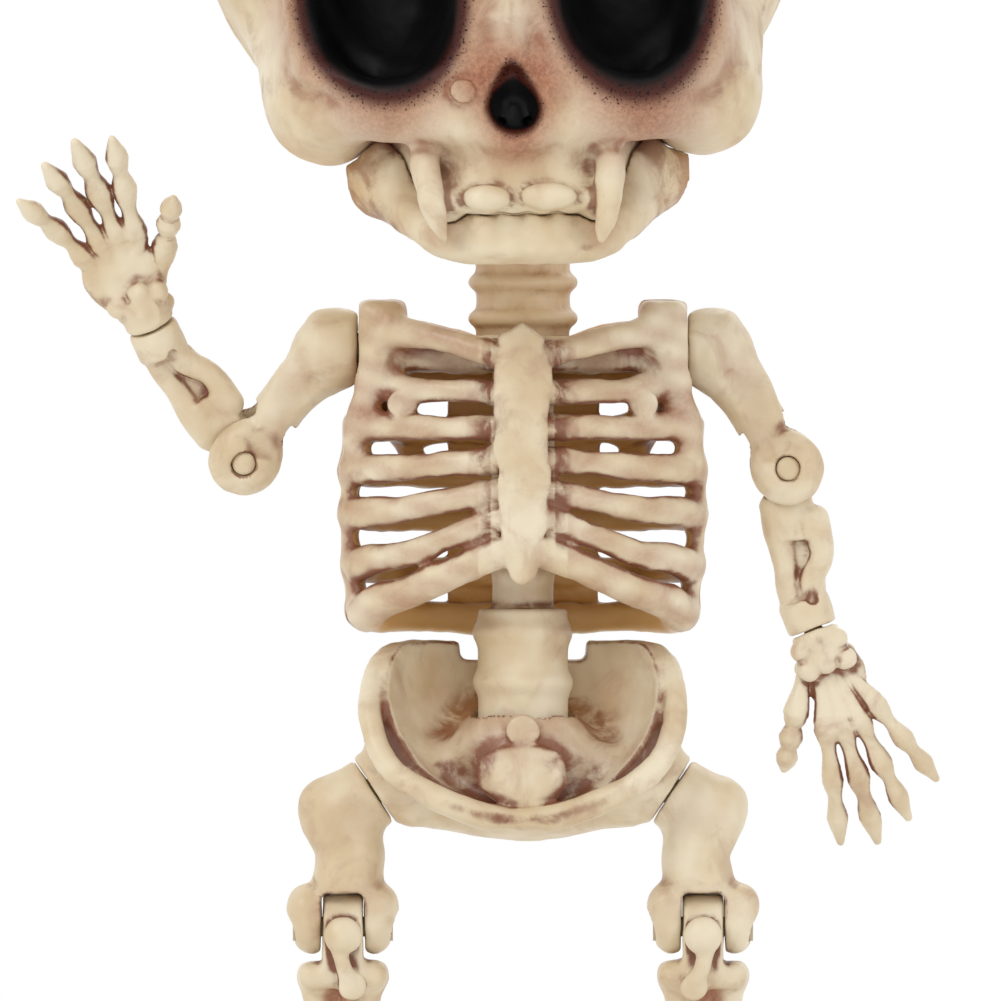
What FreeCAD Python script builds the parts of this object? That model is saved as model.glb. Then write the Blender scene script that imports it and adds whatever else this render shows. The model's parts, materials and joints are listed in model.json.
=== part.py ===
import FreeCAD, Part
import math
import os
import Sketcher

# Posable Halloween skeleton with a big skull, standing about 400 mm tall.
# X is the figure's left, -Y is the way it faces, +Z is up, millimetres.

Vector = FreeCAD.Vector
Rotation = FreeCAD.Rotation
Placement = FreeCAD.Placement
AXIS_X, AXIS_Y, AXIS_Z = Vector(1, 0, 0), Vector(0, 1, 0), Vector(0, 0, 1)
SIDES = (("right", -1), ("left", 1))
FINGERS = ("index", "middle", "ring", "little")
FAR = 200

doc = FreeCAD.newDocument("posable_skeleton")
dims = doc.addObject("Spreadsheet::Sheet", "dims")
parts = []

SIZES = (
    # middle plane of the body, from the middle of the figure's footprint box
    ("mid_x", 12), ("mid_y", -6),
    # fits
    ("running_fit", 0.06), ("face_gap", 0.35),
    # chest: an egg-shaped barrel of ribs in a front and a back shell
    ("chest_z", 165), ("chest_half_width", 46), ("chest_half_depth", 27), ("chest_half_height", 75),
    ("chest_wall", 4.5), ("chest_bottom", 133), ("chest_top", 208),
    ("rib_gaps", 6), ("rib_gap_height", 4.2), ("rib_gap_reach", 37), ("sternum_half_width", 8),
    ("gap_outer_z", 204), ("gap_outer_pitch", 11.8), ("gap_inner_z", 198), ("gap_inner_pitch", 7.8),
    ("girdle_half_depth", 12), ("girdle_bottom", 199),
    ("shoulder_z", 205), ("shoulder_x", 47.4), ("shoulder_face_x", 41), ("shoulder_radius", 12),
    ("tower_inner_x", 28), ("stud_flange_radius", 7), ("stud_flange_width", 3),
    ("shoulder_shaft_radius", 4), ("flange_x", 33), ("stud_reach", 2),
    ("post_radius", 3.6), ("upper_post_x", 30), ("upper_post_z", 191),
    ("lower_post_x", 25), ("lower_post_z", 146),
    # screws
    ("screw_radius", 1.4), ("screw_length", 20), ("screw_head_radius", 2.7), ("screw_head_height", 1.8),
    ("screw_seat_y", 11), ("cross_width", 0.8), ("cross_length", 3.2), ("cross_depth", 1.1),
    # spine with the neck on top
    ("neck_radius", 13.7), ("neck_top", 232), ("collar_radius", 16), ("collar_bottom", 201),
    ("collar_top", 205), ("core_radius", 8), ("lumbar_radius", 12.5), ("lumbar_top", 140),
    ("spine_foot", 104),
    # pelvis
    ("pelvis_z", 112.5), ("pelvis_y", 2), ("pelvis_half_width", 40), ("pelvis_half_depth", 24),
    ("pelvis_half_height", 31), ("pelvis_top", 132),
    ("bowl_z", 124), ("bowl_y", -9), ("bowl_half_width", 34), ("bowl_half_depth", 20),
    ("bowl_half_height", 26), ("block_half_width", 32), ("block_bottom", 85), ("block_top", 106),
    ("block_front", -7), ("cover_seat_y", 12), ("cover_thickness", 3), ("cover_half_width", 31),
    ("cover_bottom", 86.5), ("cover_height", 17), ("cover_corner", 5), ("cover_screw_x", 12),
    ("cover_screw_z", 95), ("cover_screw_length", 12), ("pocket_inner_x", 23), ("pocket_outer_x", 30),
    ("pocket_bottom", 88), ("pocket_top", 103), ("socket_radius", 15),
    ("socket_bottom", 98), ("socket_top", 109),
    # hips: flat discs that turn on a slanted stud
    ("hip_x", 37), ("hip_z", 94.5), ("hip_slant", 33), ("hip_radius", 9.3),
    ("hip_shaft_radius", 3.5), ("hip_flange_radius", 6), ("hip_flange_depth", 5.5),
    ("hip_flange_width", 2.5), ("hip_boss_depth", 9), ("thigh_head_depth", 11),
    # thigh, shin and foot
    ("knee_x", 45), ("knee_z", 60.5), ("thigh_radius", 9), ("thigh_low_radius", 8.4),
    ("trochanter_x", 50.7), ("trochanter_z", 92), ("trochanter_radius", 4.8),
    ("knee_radius", 8), ("knee_half_width", 12.5), ("knee_tongue_half", 5), ("leg_pin_radius", 2.5),
    ("leg_pin_head", 3.6), ("leg_pin_head_depth", 1.2),
    ("plateau_top", 51.4), ("plateau_bottom", 45), ("plateau_half_width", 11),
    ("plateau_half_depth", 7), ("tibia_radius", 5.4), ("tibia_offset", 3.2), ("fibula_radius", 3.6),
    ("fibula_offset", 6.8), ("ankle_z", 15), ("ankle_x", 46), ("ankle_radius", 5.4),
    ("ankle_half_width", 7.5), ("ankle_tongue_half", 3.2), ("ankle_yoke_height", 10),
    ("foot_half_width", 12), ("foot_half_length", 29), ("foot_height", 8.6), ("foot_y", -10),
    ("toe_radius", 3.1), ("toe_y", -41), ("toe_spacing", 5.2), ("toe_step", 1.8),
    # arms: each lies in a plane that swings about the shoulder stud
    ("upper_arm_length", 35.5), ("forearm_length", 40.5),
    ("left_lean", 32), ("left_forearm_angle", 9), ("left_swing", 0), ("left_wrist_turn", 0),
    ("right_lean", 39), ("right_forearm_angle", 145.4), ("right_swing", 18),
    ("right_wrist_turn", 180), ("wrist_slant", 11.5),
    ("arm_head_depth", 6), ("humerus_radius", 8), ("humerus_low_radius", 7.4),
    ("elbow_radius", 8.2), ("elbow_half_depth", 7.4), ("elbow_tongue_half", 3.6),
    ("elbow_slot_radius", 14.5), ("elbow_neck_half", 5), ("arm_pin_radius", 2),
    ("arm_pin_head", 3), ("arm_pin_head_depth", 1),
    ("ulna_radius", 4.6), ("ulna_offset", 4.4), ("radius_bone_radius", 3.9),
    ("radius_bone_offset", 5), ("wrist_radius", 6.2), ("wrist_depth", 9),
    ("spigot_radius", 2.8), ("spigot_length", 7),
    # hand
    ("carpal_radius", 6.8), ("carpal_length", 9), ("knuckle_reach", 24),
    ("finger_radius", 3), ("fingertip_radius", 2.2), ("finger_curl", 16),
    ("index_angle", -13), ("middle_angle", -3.5), ("ring_angle", 6.5), ("little_angle", 19),
    ("index_length", 58), ("middle_length", 60), ("ring_length", 57), ("little_length", 52),
    ("thumb_angle", -32), ("thumb_length", 38),
    # head, measured from the neck ball that it nods on
    ("head_z", 230), ("head_roll", 3.7), ("ball_radius", 10), ("stem_radius", 5), ("stem_top", 13.5),
    ("stem_flange_radius", 8), ("stem_flange_bottom", 10.5), ("stem_flange_top", 13.5),
    ("skull_boss_radius", 13), ("skull_boss_bottom", 6), ("skull_boss_top", 19),
    ("skull_chamber_radius", 8.6), ("skull_chamber_bottom", 10), ("skull_chamber_top", 14),
    ("cranium_y", 6), ("cranium_z", 92), ("cranium_half_width", 77), ("cranium_half_depth", 76),
    ("cranium_half_height", 76), ("skull_wall", 2.4),
    ("face_y", -24), ("face_z", 40), ("face_half_width", 34), ("face_half_depth", 42),
    ("face_half_height", 36), ("bite_z", 8.4),
    ("muzzle_y", -30), ("muzzle_z", 20), ("muzzle_half_width", 33), ("muzzle_half_depth", 35),
    ("muzzle_half_height", 16),
    ("cheek_x", 48), ("cheek_y", -36), ("cheek_z", 35), ("cheek_half_width", 12.5),
    ("cheek_half_depth", 17), ("cheek_half_height", 9.5),
    ("eye_x", 31), ("eye_y", -66), ("eye_z", 63.5), ("eye_half_width", 16.8), ("eye_half_depth", 24),
    ("eye_half_height", 20.5), ("nose_x", 4), ("nose_y", -68), ("nose_z", 36), ("nose_half_width", 4),
    ("nose_half_depth", 12), ("nose_half_height", 9),
    ("tooth_y", -60), ("tooth_radius", 5.6), ("tooth_height", 9), ("tooth_spacing", 14.3),
    ("fang_x", 22.5), ("fang_y", -57), ("fang_radius", 4.6), ("fang_top", 20), ("fang_tip", 1.5),
    ("fang_tip_radius", 0.8),
    # jaw
    ("hinge_y", -8), ("hinge_z", 32), ("ramus_inner_x", 37), ("ramus_outer_x", 42), ("ramus_width", 15),
    ("ramus_top", 39), ("hinge_slot_side", 1.5), ("hinge_lug_width", 4), ("hinge_lug_half", 8),
    ("hinge_lug_bottom", 24), ("hinge_lug_top", 41), ("jaw_pin_radius", 2), ("jaw_pin_head", 3),
    ("jaw_pin_head_depth", 1), ("jaw_top", 7.6), ("jaw_angle_z", 15),
    ("jaw_body_radius", 6), ("jaw_back_radius", 2.5),
    ("chin_y", -47), ("chin_z", 2), ("chin_half_width", 24), ("chin_half_depth", 12),
    ("chin_half_height", 7), ("chin_corner_x", 17), ("lower_tooth_spacing", 6.4),
    ("lower_tooth_y", -53.5), ("lower_tooth_radius", 3),
)
for row, (alias, value) in enumerate(SIZES, start=1):
    dims.set(f"A{row}", alias)
    dims.set(f"B{row}", str(value))
    dims.setAlias(f"B{row}", alias)
doc.recompute()


# ---- sizes and primitives -------------------------------------------------

def size(formula):
    """Value of a sum of cells and numbers, such as 'pin_radius + running_fit'."""
    total, sign = 0.0, 1
    for word in formula.split():
        if word in "+-":
            sign = 1 if word == "+" else -1
        else:
            total += sign * (float(word) if word[0].isdigit() else getattr(dims, word))
            sign = 1
    return total


def bind(thing, field, formula):
    """Ties one field of an object to the sheet."""
    words = (word if word in "+-" or word[0].isdigit() else "dims." + word for word in formula.split())
    thing.setExpression(field, " ".join(words))


def polar(angle, length, side):
    """Point at a length from the origin, at an angle from straight down, in the X-Z plane."""
    return Vector(side * length * math.sin(math.radians(angle)), 0, -length * math.cos(math.radians(angle)))


def ellipsoid(name, at, radii):
    thing = doc.addObject("Part::Ellipsoid", name)
    for field, formula in zip(("Radius2", "Radius3", "Radius1"), radii):
        bind(thing, field, formula)
    thing.Placement.Base = Vector(*at)
    return thing


def ball(name, at, radius):
    thing = doc.addObject("Part::Sphere", name)
    bind(thing, "Radius", radius)
    thing.Placement.Base = Vector(*at)
    return thing


def rod(name, start, end, radius, end_radius=None):
    """Round bar from one point to another, tapered if it has an end radius."""
    start, end = Vector(*start), Vector(*end)
    if end_radius is None:
        thing = doc.addObject("Part::Cylinder", name)
        bind(thing, "Radius", radius)
    else:
        thing = doc.addObject("Part::Cone", name)
        bind(thing, "Radius1", radius)
        bind(thing, "Radius2", end_radius)
    thing.Height = (end - start).Length
    thing.Placement = Placement(start, Rotation(AXIS_Z, end - start))
    return thing


def block(name, low, high):
    """Upright box between two corners."""
    thing = doc.addObject("Part::Box", name)
    low, high = ([min(a, b) for a, b in zip(low, high)], [max(a, b) for a, b in zip(low, high)])
    thing.Length, thing.Width, thing.Height = (b - a for a, b in zip(low, high))
    thing.Placement.Base = Vector(*low)
    return thing


def bar(name, start, end, depth, height):
    """Box along a line in the X-Z plane, centred on it."""
    start, end = Vector(*start), Vector(*end)
    thing = doc.addObject("Part::Box", name)
    thing.Length, thing.Width, thing.Height = (end - start).Length, depth, height
    turn = Rotation(AXIS_X, end - start)
    thing.Placement = Placement(start + turn.multVec(Vector(0, -depth / 2, -height / 2)), turn)
    return thing


def fuse(name, pieces):
    thing = doc.addObject("Part::MultiFuse", name)
    thing.Shapes = pieces
    return thing


def cut(name, base, tools):
    thing = doc.addObject("Part::Cut", name)
    thing.Base = base
    thing.Tool = tools[0] if len(tools) == 1 else fuse(name + "_tools", tools)
    return thing


def common(name, base, tool):
    thing = doc.addObject("Part::Common", name)
    thing.Base, thing.Tool = base, tool
    return thing


def add_part(thing, label, at=("mid_x", "mid_y", "0"), turn=Rotation()):
    """Names a finished sub-part and puts it in its place on the figure."""
    thing.Label = label
    thing.Placement = Placement(Vector(*(size(formula) for formula in at)), turn)
    for axis, formula in zip("xyz", at):
        bind(thing, "Placement.Base." + axis, formula)
    parts.append(thing)
    return thing


# ---- sketched bodies ------------------------------------------------------

def new_body(label):
    return doc.addObject("PartDesign::Body", label + "_body")


def outline(body, name, plane, corners):
    """Closed sketch whose corners are tied to the sheet, on one of the body's own planes."""
    sketch = body.newObject("Sketcher::SketchObject", name)
    support = next(item for item in body.Origin.OriginFeatures if item.Role == plane)
    sketch.AttachmentSupport = (support, [""])
    sketch.MapMode = "FlatFace"
    points = [Vector(size(across), size(up), 0) for across, up in corners]
    for start, end in zip(points, points[1:] + points[:1]):
        sketch.addGeometry(Part.LineSegment(start, end), False)
    for index in range(len(points)):
        following = (index + 1) % len(points)
        sketch.addConstraint(Sketcher.Constraint("Coincident", index, 2, following, 1))
    for index, corner in enumerate(corners):
        for kind, axis, formula in zip(("DistanceX", "DistanceY"), (-2, -1), corner):
            value = size(formula)
            if value == 0:
                sketch.addConstraint(Sketcher.Constraint("PointOnObject", index, 1, axis))
                continue
            number = sketch.addConstraint(Sketcher.Constraint(kind, -1, 1, index, 1, value))
            bind(sketch, f"Constraints[{number}]", formula)
    return sketch


def turned(label, corners):
    """Body turned about its own Z axis from an outline of (radius, height) corners."""
    body = new_body(label)
    sketch = outline(body, label + "_outline", "XZ_Plane", corners)
    turning = body.newObject("PartDesign::Revolution", label + "_turning")
    turning.Profile = sketch
    turning.ReferenceAxis = (sketch, ["V_Axis"])
    turning.Angle = 360
    body.Tip = turning
    return body


def screw(label, length):
    """Pan-head screw with a cross recess, the top of its head at Z = 0 and its tip above."""
    body = turned(label, (("0", length), ("screw_radius", length), ("screw_radius", "screw_head_height"),
                          ("screw_head_radius", "screw_head_height"), ("screw_head_radius", "0"),
                          ("0", "0")))
    doc.recompute()
    recess = body.newObject("Sketcher::SketchObject", label + "_recess_outline")
    support = next(item for item in body.Origin.OriginFeatures if item.Role == "XY_Plane")
    recess.AttachmentSupport = (support, [""])
    recess.MapMode = "FlatFace"
    half_width, half_length = size("cross_width") / 2, size("cross_length") / 2
    steps = ((half_length, half_width), (half_width, half_width), (half_width, half_length))
    corners = []
    for quarter in range(4):
        turn = Rotation(AXIS_Z, 90 * quarter)
        corners += [turn.multVec(Vector(across, up, 0)) for across, up in steps]
    for start, end in zip(corners, corners[1:] + corners[:1]):
        recess.addGeometry(Part.LineSegment(start, end), False)
    pocket = body.newObject("PartDesign::Pocket", label + "_recess")
    pocket.Profile = recess
    bind(pocket, "Length", "cross_depth")
    pocket.Reversed = True
    body.Tip = pocket
    return body


def group(label, body, places):
    """Several copies of one body in one node."""
    copies = []
    for number, place in enumerate(places):
        copy = doc.addObject("App::Link", f"{label}_{number + 1}")
        copy.LinkedObject = body
        copy.LinkTransform = False
        copy.Placement = place
        copies.append(copy)
    thing = doc.addObject("Part::Compound", label)
    thing.Links = copies
    return thing


# ---- chest ----------------------------------------------------------------

def chest_posts():
    """Middle of each screw post, as (x, z)."""
    for _, side in SIDES:
        yield side * size("upper_post_x"), size("upper_post_z")
        yield side * size("lower_post_x"), size("lower_post_z")


def rib_gap(side, number):
    """Slanted slot between two ribs, cut right through the front and the back."""
    inner = (side * size("sternum_half_width"), 0, size("gap_inner_z") - number * size("gap_inner_pitch"))
    outer = (side * size("rib_gap_reach"), 0, size("gap_outer_z") - number * size("gap_outer_pitch"))
    return bar(f"rib_gap_{number}_{side + 1}", inner, outer, FAR, size("rib_gap_height"))


def make_chest():
    centre = (0, 0, size("chest_z"))
    outer = ellipsoid("chest_outer", centre, ("chest_half_width", "chest_half_depth", "chest_half_height"))
    inner = ellipsoid("chest_inner", centre, ("chest_half_width - chest_wall",
                                              "chest_half_depth - chest_wall",
                                              "chest_half_height - chest_wall"))
    trim = block("chest_trim", (-FAR, -FAR, size("chest_bottom")), (FAR, FAR, size("chest_top")))
    barrel = common("chest_barrel", cut("chest_shell", outer, [inner]), trim)
    gaps = [rib_gap(side, number) for _, side in SIDES for number in range(int(size("rib_gaps")))]
    ribs = cut("ribs", barrel, gaps)
    depth, top = size("girdle_half_depth"), size("chest_top")
    solids = [ribs, block("girdle", (-size("tower_inner_x"), -depth, size("girdle_bottom")),
                          (size("tower_inner_x"), depth, top)),
              rod("neck_seat", (0, 0, size("girdle_bottom")), (0, 0, top), "collar_radius + 3")]
    hollows = [rod("neck_hole", (0, 0, size("collar_bottom")), (0, 0, FAR + FAR), "neck_radius"),
               rod("core_hole", (0, 0, 0), (0, 0, size("collar_bottom")), "core_radius + face_gap"),
               rod("collar_groove", (0, 0, size("collar_bottom")), (0, 0, size("collar_top")),
                   "collar_radius")]
    shoulder = size("shoulder_z")
    for name, side in SIDES:
        face, flange = side * size("shoulder_face_x"), side * size("flange_x")
        flange_end = flange + side * (size("stud_flange_width") + 2 * size("running_fit"))
        solids.append(rod(name + "_tower", (side * size("tower_inner_x"), 0, shoulder),
                          (face, 0, shoulder), "shoulder_radius"))
        hollows.append(rod(name + "_stud_bearing", (flange, 0, shoulder), (side * FAR, 0, shoulder),
                           "shoulder_shaft_radius + running_fit"))
        hollows.append(rod(name + "_stud_chamber", (flange, 0, shoulder), (flange_end, 0, shoulder),
                           "stud_flange_radius + face_gap"))
        hollows.append(rod(name + "_arm_room", (face, 0, shoulder), (side * FAR, 0, shoulder),
                           "shoulder_radius + face_gap"))
    posts = [rod(f"post_{number}", (x, -FAR, z), (x, FAR, z), "post_radius")
             for number, (x, z) in enumerate(chest_posts())]
    solids.append(common("chest_posts", fuse("post_rods", posts), outer))
    chest = cut("chest", fuse("chest_solids", solids), hollows)

    half = block("front_half", (-FAR, -FAR, 0), (FAR, 0, FAR + FAR))
    pilots = [rod(f"pilot_{number}", (x, size("screw_seat_y") - size("screw_length"), z), (x, 0, z),
                  "screw_radius") for number, (x, z) in enumerate(chest_posts())]
    add_part(cut("chest_front", common("chest_front_half", chest, half), pilots), "ribcage_front")

    shanks = [rod(f"shank_{number}", (x, -1, z), (x, FAR, z), "screw_radius + running_fit")
              for number, (x, z) in enumerate(chest_posts())]
    seats = [rod(f"seat_{number}", (x, size("screw_seat_y") - size("screw_head_height"), z), (x, FAR, z),
                 "screw_head_radius + face_gap") for number, (x, z) in enumerate(chest_posts())]
    back = cut("chest_back_half", chest, [half])
    add_part(cut("chest_back", back, shanks + seats), "ribcage_back")


def make_torso_screws():
    facing = Rotation(AXIS_Z, Vector(0, -1, 0))
    places = [Placement(Vector(x, size("screw_seat_y"), z), facing) for x, z in chest_posts()]
    add_part(group("torso_screw_set", screw("torso_screw", "screw_length"), places), "torso_screws")


def make_spine():
    neck = rod("neck", (0, 0, size("collar_bottom")), (0, 0, size("neck_top")), "neck_radius")
    collar = rod("collar", (0, 0, size("collar_bottom")), (0, 0, size("collar_top")), "collar_radius")
    core = rod("core", (0, 0, size("spine_foot")), (0, 0, size("collar_bottom")), "core_radius")
    lumbar = rod("lumbar", (0, 0, size("spine_foot")), (0, 0, size("lumbar_top")), "lumbar_radius")
    cup = ball("neck_cup", (0, 0, size("head_z")), "ball_radius + running_fit")
    add_part(cut("spine_column", fuse("spine_solids", [neck, collar, core, lumbar]), [cup]), "spine")


def make_shoulder_stud(name, side):
    """Stud with a flange caught in the chest; it turns there and is pressed into the arm."""
    stud = turned(name + "_shoulder_stud",
                  (("0", "0"), ("stud_flange_radius", "0"), ("stud_flange_radius", "stud_flange_width"),
                   ("shoulder_shaft_radius", "stud_flange_width"),
                   ("shoulder_shaft_radius", "shoulder_x - flange_x + stud_reach"),
                   ("0", "shoulder_x - flange_x + stud_reach")))
    at = ("mid_x + flange_x + running_fit" if side > 0 else "mid_x - flange_x - running_fit",
          "mid_y", "shoulder_z")
    add_part(stud, "shoulder_stud_" + name, at, Rotation(AXIS_Z, Vector(side, 0, 0)))


# ---- pelvis ---------------------------------------------------------------

def hip_axis(side):
    """Way that a hip stud points, outwards and down."""
    slant = math.radians(size("hip_slant"))
    return Vector(side * math.cos(slant), 0, -math.sin(slant))


def hip_face(side):
    return Vector(side * size("hip_x"), 0, size("hip_z"))


def make_pelvis():
    outer = ellipsoid("pelvis_outer", (0, size("pelvis_y"), size("pelvis_z")),
                      ("pelvis_half_width", "pelvis_half_depth", "pelvis_half_height"))
    solids = [outer,
              block("hip_block", (-size("block_half_width"), size("block_front"), size("block_bottom")),
                    (size("block_half_width"), size("cover_seat_y"), size("block_top")))]
    bowl = ellipsoid("pelvis_bowl", (0, size("bowl_y"), size("bowl_z")),
                     ("bowl_half_width", "bowl_half_depth", "bowl_half_height"))
    top = block("pelvis_above", (-FAR, -FAR, size("pelvis_top")), (FAR, FAR, FAR))
    basin = cut("pelvis_basin", fuse("pelvis_solids", solids), [bowl, top])
    solids = [basin, rod("spine_socket", (0, 0, size("socket_bottom")), (0, 0, size("socket_top")),
                         "socket_radius")]
    hollows = [rod("spine_seat", (0, 0, size("spine_foot")), (0, 0, FAR), "lumbar_radius"),
               block("cover_recess", (-FAR, size("cover_seat_y"), 0), (FAR, FAR, size("block_top")))]
    for name, side in SIDES:
        face, axis = hip_face(side), hip_axis(side)
        solids.append(rod(name + "_hip_boss", face - axis * size("hip_boss_depth"), face, "hip_radius"))
        bearing_end = face - axis * size("hip_flange_depth")
        hollows.append(rod(name + "_hip_bearing", bearing_end, face + axis,
                           "hip_shaft_radius + running_fit"))
        hollows.append(rod(name + "_hip_chamber", bearing_end - axis * 5, bearing_end,
                           "hip_flange_radius + face_gap"))
        hollows.append(block(name + "_hip_pocket",
                             (side * size("pocket_inner_x"), size("block_front") + 1, size("pocket_bottom")),
                             (side * size("pocket_outer_x"), FAR, size("pocket_top"))))
        x, seat = side * size("cover_screw_x"), size("cover_seat_y") + size("cover_thickness")
        tip = seat + size("screw_head_height") - size("cover_screw_length")
        hollows.append(rod(name + "_cover_pilot", (x, tip, size("cover_screw_z")),
                           (x, FAR, size("cover_screw_z")), "screw_radius"))
    add_part(cut("pelvis_body", fuse("pelvis_whole", solids), hollows), "pelvis")


def make_pelvis_cover():
    """Plate behind the hip pockets, with rounded corners and two screw holes."""
    body = new_body("pelvis_cover")
    low, high = "cover_bottom", "cover_bottom + cover_height"
    width = "cover_half_width + cover_half_width"
    plate = outline(body, "cover_outline", "XZ_Plane", (("0", low), (width, low), (width, high), ("0", high)))
    pad = body.newObject("PartDesign::Pad", "cover_plate")
    pad.Profile = plate
    bind(pad, "Length", "cover_thickness")
    doc.recompute()
    upright = [f"Edge{number}" for number, edge in enumerate(pad.Shape.Edges, start=1)
               if abs(edge.tangentAt(edge.FirstParameter).y) > 0.99]
    rounding = body.newObject("PartDesign::Fillet", "cover_rounding")
    rounding.Base = (pad, upright)
    bind(rounding, "Radius", "cover_corner")
    doc.recompute()
    holes = body.newObject("Sketcher::SketchObject", "cover_holes_outline")
    support = next(item for item in body.Origin.OriginFeatures if item.Role == "XZ_Plane")
    holes.AttachmentSupport = (support, [""])
    holes.MapMode = "FlatFace"
    for _, side in SIDES:
        middle = Vector(size("cover_half_width") + side * size("cover_screw_x"), size("cover_screw_z"), 0)
        holes.addGeometry(Part.Circle(middle, AXIS_Z, size("screw_radius + running_fit")), False)
    pocket = body.newObject("PartDesign::Pocket", "cover_holes")
    pocket.Profile = holes
    pocket.Type = "ThroughAll"
    pocket.Midplane = True
    body.Tip = pocket
    add_part(body, "pelvis_cover", ("mid_x - cover_half_width",
                                    "mid_y + cover_seat_y + cover_thickness", "0"))


def make_pelvis_screws():
    facing = Rotation(AXIS_Z, Vector(0, -1, 0))
    head_y = size("cover_seat_y + cover_thickness + screw_head_height")
    places = [Placement(Vector(side * size("cover_screw_x"), head_y, size("cover_screw_z")), facing)
              for _, side in SIDES]
    screws = group("pelvis_screw_set", screw("pelvis_screw", "cover_screw_length"), places)
    add_part(screws, "pelvis_screws")


# ---- legs -----------------------------------------------------------------

def make_hip_stud(name, side):
    """Stud with a flange caught inside the pelvis; it is pressed into the thigh."""
    face, axis = hip_face(side), hip_axis(side)
    length = "hip_flange_depth + thigh_head_depth - 3"
    stud = turned(name + "_hip_stud",
                  (("0", "0"), ("hip_flange_radius", "0"), ("hip_flange_radius", "hip_flange_width"),
                   ("hip_shaft_radius", "hip_flange_width"), ("hip_shaft_radius", length), ("0", length)))
    start = face - axis * (size("hip_flange_depth + hip_flange_width + running_fit"))
    stud.Label = "hip_stud_" + name
    stud.Placement = Placement(start + Vector(size("mid_x"), size("mid_y"), 0), Rotation(AXIS_Z, axis))
    parts.append(stud)


def hip_stud_end(side):
    """Bottom of the hole in the thigh that takes the stud."""
    reach = size("thigh_head_depth - 3 - hip_flange_width - running_fit")
    return hip_face(side) + hip_axis(side) * reach


def make_thigh(name, side):
    face, axis = hip_face(side), hip_axis(side)
    knee_x, knee_z, half = side * size("knee_x"), size("knee_z"), size("knee_half_width")
    head_end = face + axis * size("thigh_head_depth")
    head = rod(name + "_thigh_head", face + axis * size("face_gap"), head_end, "hip_radius")
    trochanter = ball(name + "_trochanter", (side * size("trochanter_x"), 0, size("trochanter_z")),
                      "trochanter_radius")
    top = face + axis * (size("thigh_head_depth") - 2)
    shaft = rod(name + "_thigh_shaft", top, (knee_x, 0, knee_z + 6), "thigh_radius", "thigh_low_radius")
    knee = rod(name + "_condyles", (knee_x - half, 0, knee_z), (knee_x + half, 0, knee_z), "knee_radius")
    clear = size("face_gap")
    tongue = size("knee_tongue_half") + clear
    gap = rod(name + "_knee_gap", (knee_x - tongue, 0, knee_z), (knee_x + tongue, 0, knee_z),
              "knee_radius + face_gap")
    pelvis_side = rod(name + "_hip_relief", face + axis * clear, face - axis * 30, "hip_radius + 9")
    stud_hole = rod(name + "_thigh_bore", face - axis, hip_stud_end(side), "hip_shaft_radius")
    pin_hole = rod(name + "_knee_bore", (knee_x - FAR, 0, knee_z), (knee_x + FAR, 0, knee_z),
                   "leg_pin_radius")
    counterbores = head_seats(name + "_knee", Vector(knee_x, 0, knee_z), AXIS_X, half,
                              "leg_pin_head", size("leg_pin_head_depth"))
    thigh = cut(name + "_thigh", fuse(name + "_thigh_solids", [head, trochanter, shaft, knee]),
                [gap, pelvis_side, stud_hole, pin_hole] + counterbores)
    add_part(thigh, "thigh_" + name)


def head_seats(name, middle, axis, half, radius, depth):
    """Two shallow counterbores for the heads of a cross pin."""
    seats = []
    for end in (-1, 1):
        floor = middle + axis * (end * (half - depth))
        seats.append(rod(f"{name}_seat_{end + 1}", floor, middle + axis * (end * FAR), radius))
    return seats


def make_cross_pin(name, label, at, turn, half, radius, head, depth):
    """Pin with a low head at each end, turned in one piece and lying along its own Z."""
    pin = turned(name, (("0", "0"), (head, "0"), (head, depth), (radius, depth),
                        (radius, f"{half} + {half} - {depth}"), (head, f"{half} + {half} - {depth}"),
                        (head, f"{half} + {half}"), ("0", f"{half} + {half}")))
    pin.Label = label
    pin.Placement = Placement(at - turn.multVec(AXIS_Z) * size(half), turn)
    parts.append(pin)


def ankle_x(side):
    return side * size("ankle_x")


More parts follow.
